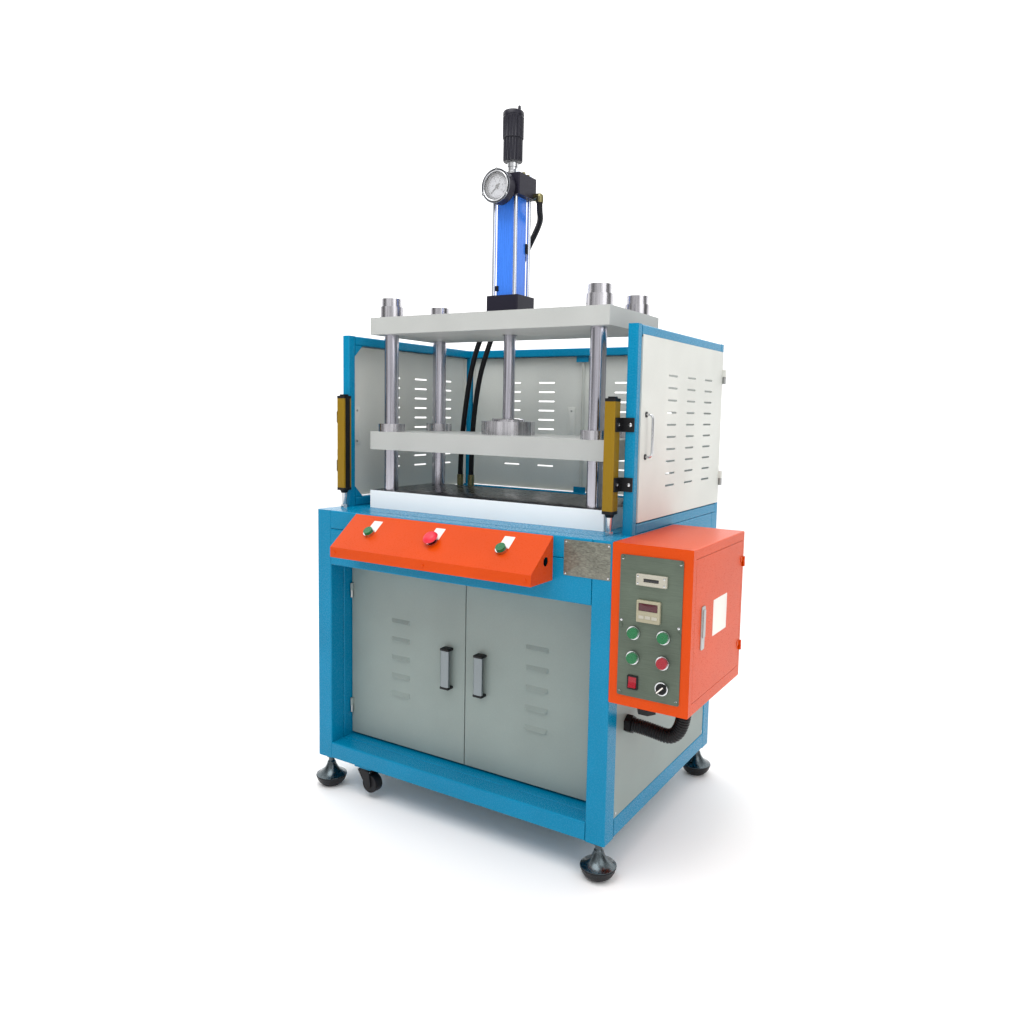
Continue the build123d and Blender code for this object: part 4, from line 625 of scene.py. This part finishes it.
@dataclass
class Conduit:
    """The corrugated conduit from the control box to the cabinet, its ends 13 mm deep in the two glands."""

    outer: float = 17.0
    root: float = 15.0
    pitch: float = 6.0
    rows: int = 340
    columns: int = 28
    route: tuple[Point, ...] = (
        (588, -240, 426.8), (588, -240, 330), (490.4, -240, 345), (451.4, -240, 345))

    def build(self) -> None:
        """Carry a rippled circle along the route.

        At the distance s along the route the radius is the root plus the rise times a rounded wave of
        s over the pitch, and the circle's plane is square to the route.
        """
        line = meshed("conduit_line", route_points(self.route))
        path = np.array([v.co for v in line.vertices], float)
        steps = np.linalg.norm(np.diff(path, axis=0), axis=1)
        travelled = np.concatenate([[0], np.cumsum(steps)])
        s = np.linspace(0, travelled[-1], self.rows)
        centre = np.stack([np.interp(s, travelled, path[:, k]) for k in range(3)], -1)
        way = np.gradient(centre, axis=0)
        way /= np.linalg.norm(way, axis=1)[:, None]
        across = np.array([0.0, 1.0, 0.0])
        second = np.cross(way, across)
        wave = np.clip(0.5 - 0.9 * np.cos(2 * math.pi * s / (self.pitch * MM)), 0, 1)
        cuff = np.minimum(s, travelled[-1] - s) < 2 * MM
        radius = (self.root + (self.outer - self.root) * np.where(cuff, 0, wave)) * MM
        angle = np.linspace(0, 2 * math.pi, self.columns, endpoint=False)
        ring = np.cos(angle)[None, :, None] * across + np.sin(angle)[None, :, None] * second[:, None, :]
        tube = centre[:, None, :] + radius[:, None, None] * ring
        ends = [np.repeat(centre[k][None, None, :], self.columns, 1) for k in (0, -1)]
        piece = surface("corrugated_conduit", np.concatenate([ends[0], tube, ends[1]]), Paint.BLACK_PLASTIC,
                        ROOT)
        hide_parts("conduit")


@dataclass
class Gauge:
    """The pressure gauge's dial, ticks, numbers, bezel, flange, clips and glass."""

    x: float = 0.0
    face_y: float = -164.0
    z: float = 1643.5
    radius: float = 28.0
    rim: float = 35.0
    zero: float = 50.0
    sweep: float = 260.0
    steps: int = 50
    long_every: int = 10
    dial_depth: float = 9.7
    ink_depth: float = 9.1
    number_depth: float = 9.0
    glass_depth: float = 3.4
    clip_ring: float = 41.5
    clip_turns: tuple[int, ...] = (5, 125, 245)

    def mark(self, share: float, reach: float, depth: float) -> Seat:
        """A seat for one mark, whose up points away from the dial's middle.

        Args:
            share: Its place along the scale, from 0 to 1.
            reach: Its distance from the dial's middle.
            depth: How far it lies behind the gauge's face.

        Returns:
            The seat.
        """
        turn = math.radians(self.zero + self.sweep * share)
        sine, cosine = math.sin(turn), math.cos(turn)
        return Seat((self.x - sine * reach, self.face_y + depth, self.z - cosine * reach),
                    (cosine, 0.0, -sine), (-sine, 0.0, -cosine))

    def build(self) -> None:
        """Make the dial plate and the painted shadow round its rim, the scale, the bezel with its clips, and
        the glass.
        """
        face = front(self.x, self.face_y, self.z)
        seat = face.moved(0, -self.dial_depth)
        surface("gauge_dial", lathe(seat, [(0, 0), (self.radius, 0), (self.radius, 0.5), (0, 0.5)], 64),
                Paint.DIAL_WHITE, ROOT)
        # a dark sloping ring round the dial's edge is painted shadow, where the bezel and the glass shade the
        # face
        ring = [(self.radius, -0.2), (self.rim, -0.2), (self.rim, 3.0), (self.radius, 0.8),
                (self.radius, -0.2)]
        surface("gauge_rim_painted_shadow", lathe(seat, ring, 64), Paint.DIAL_SHADE, ROOT)
        ticks = []
        for step in range(self.steps + 1):
            width, length, inset = (1.1, 6, 5.0) if step % self.long_every == 0 else (0.5, 3, 3.2)
            mark = self.mark(step / self.steps, self.radius - inset, self.ink_depth)
            ticks.append(plate(mark, width, length, 0.2, 0.15, 0.05, 2))
        group("gauge_ticks", ticks, Paint.DIAL_INK, ROOT, smooth=False)
        numbers = [self.number(str(value), value / 10) for value in range(0, 11, 2)]
        joined("gauge_numbers", numbers, ROOT)
        bezel = [(self.rim, -1), (self.rim + 3.4, -1), (self.rim + 3.4, 1.6), (self.rim + 2.0, 2.9),
                 (self.rim + 0.6, 2.2), (self.rim, 0.4), (self.rim, -1)]
        rim_seat = face.moved(0, 0.1)
        surface("gauge_bezel", lathe(rim_seat, bezel, 72), Paint.NICKEL, ROOT)
        flange = [(self.rim + 3.6, -1), (self.rim + 8.3, -1), (self.rim + 8.3, 0.6), (self.rim + 7.6, 1.2),
                  (self.rim + 7.0, 0.7), (self.rim + 3.6, 0.5), (self.rim + 3.6, -1)]
        surface("gauge_flange", lathe(rim_seat, flange, 72), Paint.POLISHED, ROOT)
        clips = []
        for turn in self.clip_turns:
            sine, cosine = math.sin(math.radians(turn)), math.cos(math.radians(turn))
            place = (self.x + sine * self.clip_ring, self.face_y - 1.5, self.z + cosine * self.clip_ring)
            clips.append(plate(Seat(place, (cosine, 0.0, -sine), (sine, 0.0, cosine)), 7, 6, 1.0, 2.4, 0.6))
        group("gauge_clips", clips, Paint.NICKEL, ROOT)
        pane = [(0, 0), (self.rim, 0), (self.rim, 1.2), (0, 1.8)]
        surface("gauge_glass", lathe(face.moved(0, -self.glass_depth), pane, 64), Paint.GLASS, ROOT)

    def number(self, text: str, share: float) -> bpy.types.Object:
        """Print one number of the scale on the dial.

        Args:
            text: The number.
            share: Its place along the scale, from 0 to 1.

        Returns:
            The piece.
        """
        letters = bpy.data.curves.new(f"number_{text}", "FONT")
        letters.body, letters.size, letters.extrude = text, 6.5 * MM, 0.1 * MM
        letters.align_x, letters.align_y = "CENTER", "CENTER"
        mesh = meshed(f"number_{text}", letters)
        place = spot(*self.mark(share, self.radius - 12.5, self.number_depth).origin)
        mesh.transform(Matrix.Translation(place.tolist()) @ Matrix.Rotation(math.radians(90), 4, "X"))
        return finish_mesh(f"number_{text}", mesh, Paint.DIAL_INK, ROOT, smooth=False)


@dataclass
class Booster:
    """The fluted black stroke booster on top of the cylinder, on its nickel neck."""

    y: float = -85.0
    bottom: float = 1682.0
    vent_x: float = 18.0
    flutes: tuple[int, float, int, int] = (18, 2.2, 3, 4)

    def build(self) -> None:
        """Turn the neck and the two fluted barrels, and set the vent on top."""
        seat = upright(0, self.y, self.bottom)
        neck = [(0, 0.2), (15.5, 0.2), (15.5, 14), (13.0, 15.5), (13.0, 26), (14.6, 27), (14.6, 39.9),
                (0, 39.9)]
        surface("booster_neck", lathe(seat, neck, 36), Paint.NICKEL, ROOT)
        lower = [(0, 40), (24.2, 40), (25.2, 41.5), (26, 43), (26, 97.5), (25, 99), (0, 99)]
        upper = [(0, 99), (27, 99), (28, 100.5), (28, 102), (28, 150), (28, 152), (26.8, 153), (26.8, 156),
                 (28, 157), (28, 165), (25.5, 168.6), (0, 169)]
        vent = [(0, 168), (4, 168), (4, 177), (3, 180.9), (0, 180.9)]
        grids = [lathe(seat, lower, 144, self.flutes), lathe(seat, upper, 144, self.flutes),
                 lathe(upright(self.vent_x, self.y, self.bottom), vent, 20)]
        barrels = group("booster_barrels", grids, Paint.RIBBED_BLACK, ROOT)
        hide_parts("stroke_booster")


@dataclass
class FlatHandle:
    """A wide pull handle: a satin bar held between two black end bars."""

    length: float = 110.0
    reach: float = 22.0
    width: float = 28.0
    bar: float = 7.0
    grip: float = 11.0

    def build(self, door: str, seat: Seat) -> None:
        """Make one handle in place of its plain solid.

        Args:
            door: The start of the names of the door's body, handle and grip.
            seat: The middle of the handle's back, whose up runs along the grip.
        """
        name, body = f"{door}_grip", f"{door}_leaf"
        far = (self.length - self.bar) / 2
        ends = [plate(seat.moved(end * far), self.width, self.bar, 2.0, self.reach, 1.6) for end in (-1, 1)]
        group(f"{name}_ends", ends, Paint.BLACK_PLASTIC, body)
        span = self.length - 2 * self.bar + 0.6
        base = seat.moved(-span / 2, self.reach - self.grip / 2 - 0.4)
        along = Seat(base.origin, seat.out, seat.right, seat.up)
        t = np.linspace(0, 2 * math.pi, 32, endpoint=False)
        # the grip's section is a squared round: the cosine and sine to the power 0.5
        section = np.stack([self.grip / 2 * np.sign(np.cos(t)) * abs(np.cos(t)) ** 0.5,
                            (self.width / 2 - 0.8) * np.sign(np.sin(t)) * abs(np.sin(t)) ** 0.5], -1)
        rows = [np.concatenate([section * scale, np.full((len(t), 1), h)], 1)
                for scale, h in ((0.0, 0), (1, 0), (1, span), (0.0, span))]
        grip = surface(f"{name}_grip", along.map(np.array(rows)), Paint.SATIN_NICKEL, body)
        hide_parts(f"{door}_handle")


@dataclass
class BowHandle:
    """A bow handle bent from one nickel-plated bar, on two small dark washers."""

    length: float = 110.0
    reach: float = 20.0
    width: float = 9.0
    bar: float = 6.0
    bend: float = 9.0

    def build(self, door: str, seat: Seat) -> None:
        """Carry an oval along the bow, in place of its plain solid.

        The bow's middle line rises from the door, turns through a quarter circle, runs along the
        grip, and comes back the same way; the oval's plane is square to it.

        Args:
            door, seat: As in `FlatHandle.build`.
        """
        name, body = f"{door}_grip", f"{door}_leaf"
        far, high = self.length / 2 - 6, self.reach - self.bar / 2
        turn = np.linspace(0, math.pi / 2, 8)
        up = np.concatenate([[far], far - self.bend + self.bend * np.cos(turn)])
        out = np.concatenate([[0.0], high - self.bend + self.bend * np.sin(turn)])
        line = np.stack([np.concatenate([up, -up[::-1]]), np.concatenate([out, out[::-1]])], -1)
        way = np.gradient(line, axis=0)
        way /= np.linalg.norm(way, axis=1)[:, None]
        t = np.linspace(0, 2 * math.pi, 24, endpoint=False)
        side_step = np.repeat(self.width / 2 * np.cos(t)[None, :], len(line), 0)
        lift = self.bar / 2 * np.sin(t)[None, :]
        tube = np.stack([side_step, line[:, 0, None] - way[:, 1, None] * lift,
                         line[:, 1, None] + way[:, 0, None] * lift], -1)
        caps = [np.repeat(tube[k].mean(0)[None, None, :], len(t), 1) for k in (0, -1)]
        bow = surface(f"{name}_bow", seat.map(np.concatenate([caps[0], tube, caps[1]])), Paint.NICKEL,
                      body)
        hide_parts(f"{door}_handle")
        washers = [plate(seat.moved(end * far), 13, 13, 4, 1.6, 0.4) for end in (-1, 1)]
        group(f"{name}_washers", washers, Paint.BLACK_PLASTIC, body)


@dataclass
class Console:
    """The two-hand console's plain legend plates."""

    depth: float = 95.0
    rise: float = 76.0
    middle: Pair = (-397.5, 750.0)
    places: tuple[float, ...] = (-214.0, -11.0, 192.0)
    plate_shift: float = 0.5
    plate_climb: float = 25.0
    plate_size: Pair = (29.0, 37.0)

    def seat(self, x: float, up: float) -> Seat:
        """A seat on the console's slope.

        Args:
            x: Its place across.
            up: Its distance up the slope from the slope's middle.

        Returns:
            The seat.
        """
        length = math.hypot(self.depth, self.rise)
        run, climb = self.depth / length, self.rise / length
        origin = (x, self.middle[0] + up * run, self.middle[1] + up * climb)
        return Seat(origin, (1.0, 0.0, 0.0), (0.0, run, climb), (0.0, -climb, run))

    def build(self) -> None:
        """Fix one pale plate behind each button."""
        for number, x in enumerate(self.places):
            seat = self.seat(x + self.plate_shift, self.plate_climb)
            surface(f"legend_plate_{number}", plate(seat, *self.plate_size, 1.5, 0.9, 0.3),
                    Paint.WHITE_PRINT, ROOT)


@dataclass
class ControlPanel:
    """The control box's lenses, keys, screws, pointer, plain plates and hinge covers."""

    plate_front: float = -352.0
    middle_x: float = 542.7
    pitch: float = 69.0
    counter_z: float = 716.0
    display_z: float = 657.6
    keys_z: float = 636.0
    screws_z: tuple[float, ...] = (462.0, 622.0, 758.0)
    screws_x: float = 66.0
    selector_z: float = 487.0
    selector_turn: float = 45.0
    knob: float = 17.0
    housing: float = 7.2
    door_x: float = 635.2
    label: Pair = (-166.0, 619.0)
    label_size: Pair = (94.0, 82.0)
    lock: Pair = (-281.0, 612.0)
    lock_size: Pair = (20.8, 95.8)
    hinge: Pair = (637.8, -5.0)
    hinges_z: tuple[float, ...] = (498.0, 705.0)

    def build(self) -> None:
        """Dress the meters, the plate's edge, the selector, and the box door with its hinges."""
        self.meters()
        screws = [screw_head(front(self.middle_x + x, self.plate_front, z), 3.0, 1.6)
                  for x in (-self.screws_x, self.screws_x) for z in self.screws_z]
        group("panel_screws", screws, Paint.NICKEL, ROOT)
        turn = math.radians(self.selector_turn)
        pointer = Seat((self.middle_x + self.pitch / 2, self.plate_front - self.knob, self.selector_z),
                       (math.cos(turn), 0.0, -math.sin(turn)), (math.sin(turn), 0.0, math.cos(turn)))
        surface("selector_pointer", plate(pointer, 3.0, 21, 1.0, 0.4, 0.1), Paint.WHITE_PRINT, "selector")
        label = plate(side(self.door_x, *self.label), *self.label_size, 2, 0.6, 0.2)
        surface("door_label", label, Paint.WHITE_PRINT, "box_leaf")
        cover = plate(side(self.door_x + 0.1, *self.lock), *self.lock_size, 4, 2.5, 0.6)
        surface("lock_plate", cover, Paint.ZINC, "box_leaf")
        sleeve = [(0, -0.1), (2.9, -0.1), (2.9, 12.1), (0, 12.1)]
        covers = [lathe(upright(*self.hinge, z), sleeve, 20) for z in self.hinges_z]
        group("hinge_covers", covers, Paint.ORANGE, ROOT)

    def meters(self) -> None:
        """Set the counter's window and screws, and the display's window and keys."""
        face_y = self.plate_front - self.housing
        counter_x, display_x = self.middle_x + 3, self.middle_x - 2
        window = plate(front(counter_x, face_y + 1.6, self.counter_z), 34, 6.4, 0.6, 0.8, 0.2)
        surface("counter_window", window, Paint.BLACK_GLOSS, ROOT)
        ears = [screw_head(front(counter_x + x, face_y, self.counter_z + z), 2.2, 1.2)
                for x, z in corners(30, 7.5)]
        group("counter_screws", ears, Paint.NICKEL, ROOT)
        window = plate(front(display_x, face_y + 1.6, self.display_z), 43, 16.4, 0.6, 0.8, 0.2)
        surface("display_window", window, Paint.WINDOW_RED, ROOT)
        keys = [plate(front(display_x + x, face_y, self.keys_z), 12, 7, 1.0, 1.0, 0.4) for x in (-15, 0, 15)]
        group("display_keys", keys, Paint.IVORY, ROOT)


@dataclass
class Nameplate:
    """The bare metal nameplate on the front beam, with its four rivets."""

    low: Pair = (329.0, 702.0)
    high: Pair = (446.0, 784.0)
    beam_y: float = -350.0

    def build(self) -> None:
        """Make the plate and its rivets."""
        x, z = ((a + b) / 2 for a, b in zip(self.low, self.high))
        width, height = (b - a for a, b in zip(self.low, self.high))
        sheet = plate(front(x, self.beam_y, z), width, height, 2, 0.8, 0.3)
        surface("nameplate", sheet, Paint.NAMEPLATE, ROOT)
        rivets = [screw_head(front(x + dx, self.beam_y - 0.8, z + dz), 2.4, 1.4)
                  for dx, dz in corners(width / 2 - 5, height / 2 - 5)]
        group("nameplate_rivets", rivets, Paint.NICKEL, ROOT)


@dataclass
class SmallHardware:
    """Screws, sensors, the handles' backing plates, the bed's oiled face and the feet's bowls."""

    handle_z: float = 1018.0
    guard_x: float = 450.4
    guard_y: float = -196.0
    rear_seat: Point = (-42.0, 350.4, 1030.0)
    bracket_x: float = 440.0
    bracket_y: float = -255.8
    bracket_side: Pair = (419.1, -271.0)
    bracket_z: tuple[float, ...] = (907.0, 1043.0)
    panel_x: float = 448.0
    panel_y: tuple[float, ...] = (-290.0, 290.0)
    panel_z: tuple[float, ...] = (145.0, 730.0)
    bed: Point = (0.0, -85.0, 840.2)
    bed_size: Pair = (735.0, 290.0)
    foot_reach: Pair = (425.0, 325.0)

    def build(self) -> None:
        """Make each group of small pieces."""
        x, y = self.bracket_x, self.bracket_y
        screws = [screw_head(seat, 4.2, 2.4) for z in self.bracket_z
                  for seat in (front(-x, y, z), front(x, y, z), side(*self.bracket_side, z))]
        screws += [screw_head(side(self.panel_x, y, z), 3.4, 1.9)
                   for z in self.panel_z for y in self.panel_y]
        group("fixing_screws", screws, Paint.NICKEL, ROOT)
        sensors = [plate(side(31, -62, 1500), 8, 26, 2, 5, 1.2),
                   plate(front(-22, -116, 1392), 8, 14, 2, 5, 1.2)]
        group("reed_sensors", sensors, Paint.BLACK_PLASTIC, ROOT)
        surface("bed_face", plate(upright(*self.bed), *self.bed_size, 1.0, 0.4, 0.1), Paint.OILED, ROOT)
        for name, way in (("right", 1.0), ("left", -1.0)):
            place = (way * self.guard_x, self.guard_y, self.handle_z)
            seat = Seat(place, (0.0, way, 0.0), out=(-way, 0.0, 0.0))
            self.backing(f"{name}_backing", seat, f"{name}_guard_leaf")
        self.backing("rear_backing", Seat(self.rear_seat, (-1.0, 0.0, 0.0)), "rear_left_leaf")
        bowl = [(0, 0.3), (22.5, 0.3), (24.8, 1.9), (30.0, 5.7), (35.2, 10.8), (39.0, 17.6), (41.4, 25.6),
                (42.5, 26.9), (42.5, 29.5), (0, 29.5)]
        bowls = [lathe(upright(x, y, 0), bowl, 40) for x, y in corners(*self.foot_reach)]
        group("foot_bowls", bowls, Paint.WHEEL, ROOT)

    def backing(self, name: str, seat: Seat, body: str) -> None:
        """Fix one handle's backing plate inside a guard door, with its two screws.

        Args:
            name: The plate's name.
            seat: The middle of its back.
            body: The door that it rides on.
        """
        surface(name, plate(seat, 28, 110, 1.5, 1.6, 0.3), Paint.GUARD_GREY, body)
        heads = [screw_head(seat.moved(way * 44, 1.6), 3.2, 2.0) for way in (-1, 1)]
        group(f"{name}_screws", heads, Paint.ZINC, body)


# -------- the whole machine


NODE_PAINT: dict[Paint, tuple[str, ...]] = {
    Paint.FRAME_BLUE: ("base_frame", "guard_frame", "deck_plate"),
    Paint.CABINET_GREY: ("cabinet_panels", "right_cabinet_door", "left_cabinet_door"),
    Paint.GUARD_GREY: ("right_guard_door", "left_guard_door", "rear_right_door", "rear_left_door"),
    Paint.PLATEN_GREY: ("top_plate", "moving_platen"),
    Paint.BED_WHITE: ("lower_platen",),
    Paint.ORANGE: ("console_shell", "box_shell", "box_door"),
    Paint.GROUND: ("column_nuts", "guide_bushings", "rod_flange"),
    Paint.CHROME: ("columns", "piston_rod"),
    Paint.ROD_CHROME: ("tie_rods",),
    Paint.DARK_STEEL: ("levelling_feet",),
    Paint.BLACK_ANODISE: ("cylinder_end_blocks", "stroke_booster", "pressure_gauge"),
    Paint.NICKEL: ("curtain_plugs", "button_bezels", "right_cabinet_handle",
                   "left_cabinet_handle", "right_guard_handle", "left_guard_handle"),
    Paint.ZINC: ("hinge_pins", "box_lock"),
    Paint.BARREL_BLUE: ("cylinder_tube",),
    Paint.WHEEL: ("front_caster_wheel", "rear_caster_wheel", "front_caster_fork", "rear_caster_fork"),
    Paint.BLACK_PLASTIC: ("curtain_brackets", "switch_bodies", "selector_knob", "conduit", "conduit_glands",
                          "gauge_needle"),
    Paint.RUBBER: ("left_air_hose", "right_air_hose"),
    Paint.YELLOW: ("light_curtains",),
    Paint.PANEL_METAL: ("control_plate",),
    Paint.BRASS: ("air_fittings",),
    Paint.IVORY: ("digital_counter",),
    Paint.BEIGE: ("temperature_display",),
    Paint.GREEN: ("left_start_button", "right_start_button", "heater_button", "jog_button", "cycle_button"),
    Paint.RED: ("reset_button", "rocker_switch"),
    Paint.MUSHROOM_RED: ("stop_button",),
}


def paint_solids() -> None:
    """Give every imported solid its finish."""
    for paint, nodes in NODE_PAINT.items():
        for node in nodes:
            coat_with(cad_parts[node], paint)


@dataclass(frozen=True)
class Lamp:
    """One square soft light: its place in millimetres, its side in metres and its power in watts."""

    name: str
    place: Point
    size: float
    power: float


@dataclass
class Studio:
    """The camera at the photograph's place, soft lights, a sky and a pale floor."""

    place: Point = (1197.0, -1922.0, 1068.0)
    yaw: float = 31.206
    pitch: float = -5.468
    roll: float = 1.160
    focal_pixels: float = 803.1
    centre_pixels: Pair = (533.5, 488.8)
    image: float = 1024.0
    sensor: float = 36.0
    room: float = 0.2
    window: float = 0.7
    backdrop: float = 1.5
    ceiling: float = 1.1
    wall_steps: Pair = (0.0, 0.6)
    window_steps: Pair = (-0.3, -0.75)
    reach: float = 14.0
    lamps: tuple[Lamp, ...] = (Lamp("key", (2900, -1100, 2500), 2.2, 20),
                               Lamp("overhead", (-100, -1600, 3700), 2.4, 58))

    def camera(self) -> None:
        """Make the camera; its axes are the view's right, up and backward directions."""
        yaw, pitch, roll = (math.radians(a) for a in (self.yaw, self.pitch, self.roll))
        level = math.cos(pitch)
        ahead = np.array([-math.sin(yaw) * level, math.cos(yaw) * level, math.sin(pitch)])
        right = np.array([math.cos(yaw), math.sin(yaw), 0.0])
        up = np.cross(right, ahead)
        turned = right * math.cos(roll) + up * math.sin(roll)
        lifted = up * math.cos(roll) - right * math.sin(roll)
        data = bpy.data.cameras.new("camera")
        data.sensor_width = self.sensor
        data.lens = self.focal_pixels / self.image * self.sensor
        data.shift_x = (self.image / 2 - self.centre_pixels[0]) / self.image
        data.shift_y = (self.centre_pixels[1] - self.image / 2) / self.image
        data.clip_end = 50.0
        cam = stand("camera", data)
        turn_to(cam, self.place, [turned, lifted, -ahead])
        bpy.context.scene.camera = cam

    def hang(self, lamp: Lamp) -> None:
        """Hang one light so that it points at the machine's middle.

        Args:
            lamp: The light.
        """
        data = bpy.data.lights.new(lamp.name, "AREA")
        data.size, data.energy = lamp.size, lamp.power
        aim = spot(0, 0, 800) - spot(*lamp.place)
        back = -aim / np.linalg.norm(aim)
        across = np.cross([0.0, 0.0, 1.0], back)
        across /= np.linalg.norm(across)
        turn_to(stand(lamp.name, data), lamp.place, [across, np.cross(back, across), back])

    def sky(self, tree: bpy.types.NodeTree) -> None:
        """Shade the sky: a white backdrop, dim sides, a window in front and a bright ceiling.

        The strength rises from the room's to the backdrop's, on a smooth step of the direction's share
        along the backdrop's direction, and to the window's the other way. It grows by the ceiling's
        times the square of the direction's upward share.

        Args:
            tree: The world's node tree.
        """
        way = add_node(tree, "ShaderNodeTexCoord").outputs["Generated"]
        yaw = math.radians(self.yaw)
        toward = add_node(tree, "ShaderNodeVectorMath",
                          {"operation": "DOT_PRODUCT", 1: (-math.sin(yaw), math.cos(yaw), 0.0)}, {0: way})
        wall, pane = (add_node(tree, "ShaderNodeMapRange",
                               {"interpolation_type": "SMOOTHSTEP", "From Min": start, "From Max": end,
                                "To Min": low, "To Max": high}, {"Value": toward.outputs["Value"]})
                      for (start, end), low, high in
                      ((self.wall_steps, self.room, self.backdrop),
                       (self.window_steps, 0.0, self.window - self.room)))
        around = add_node(tree, "ShaderNodeMath", {"operation": "ADD"},
                          {0: wall.outputs["Result"], 1: pane.outputs["Result"]})
        lift = add_node(tree, "ShaderNodeSeparateXYZ", links={"Vector": way}).outputs["Z"]
        above = add_node(tree, "ShaderNodeMath", {"operation": "MAXIMUM", 1: 0.0}, {0: lift})
        squared = add_node(tree, "ShaderNodeMath", {"operation": "MULTIPLY"},
                           {0: above.outputs["Value"], 1: above.outputs["Value"]})
        total = add_node(tree, "ShaderNodeMath", {"operation": "MULTIPLY_ADD", 1: self.ceiling},
                         {0: squared.outputs["Value"], 2: around.outputs["Value"]})
        back = tree.nodes["Background"]
        back.inputs["Color"].default_value = WHITE
        tree.links.new(total.outputs["Value"], back.inputs["Strength"])

    def build(self) -> None:
        """Make the camera, the lights, the sky and the floor."""
        self.camera()
        for lamp in self.lamps:
            self.hang(lamp)
        world = bpy.data.worlds.new("sky")
        world.use_nodes = True
        self.sky(world.node_tree)
        bpy.context.scene.world = world
        bpy.context.scene.view_settings.view_transform = "Standard"
        mesh = bpy.data.meshes.new("studio_floor")
        mesh.from_pydata([(x, y, 0) for x, y in corners(self.reach, self.reach)], [], [(0, 1, 3, 2)])
        floor = stand("studio_floor", mesh)
        coat_with(floor, Paint.FLOOR)


def build_handles() -> None:
    """Make the four handles that show, each on its door."""
    flat, bow = FlatHandle(), BowHandle()
    for name, sign in (("right", 1.0), ("left", -1.0)):
        flat.build(f"{name}_cabinet", front(sign * 53, -270, 394))
        outer = Seat((sign * 452, -196, 1018), (0.0, sign, 0.0), out=(sign, 0.0, 0.0))
        bow.build(f"{name}_guard", outer)


def main() -> None:
    """Build the studio and every sub-assembly in order."""
    logging.basicConfig(level=logging.INFO, format="%(name)s: %(message)s")
    steps = (("studio", Studio().build), ("air hoses", AirHoses().build), ("conduit", Conduit().build),
             ("solids", paint_solids), ("gauge", Gauge().build), ("booster", Booster().build),
             ("handles", build_handles), ("console", Console().build),
             ("control panel", ControlPanel().build), ("nameplate", Nameplate().build),
             ("small hardware", SmallHardware().build))
    for name, build in steps:
        build()
        LOG.info("built the %s", name)


if __name__ == "__main__":
    main()
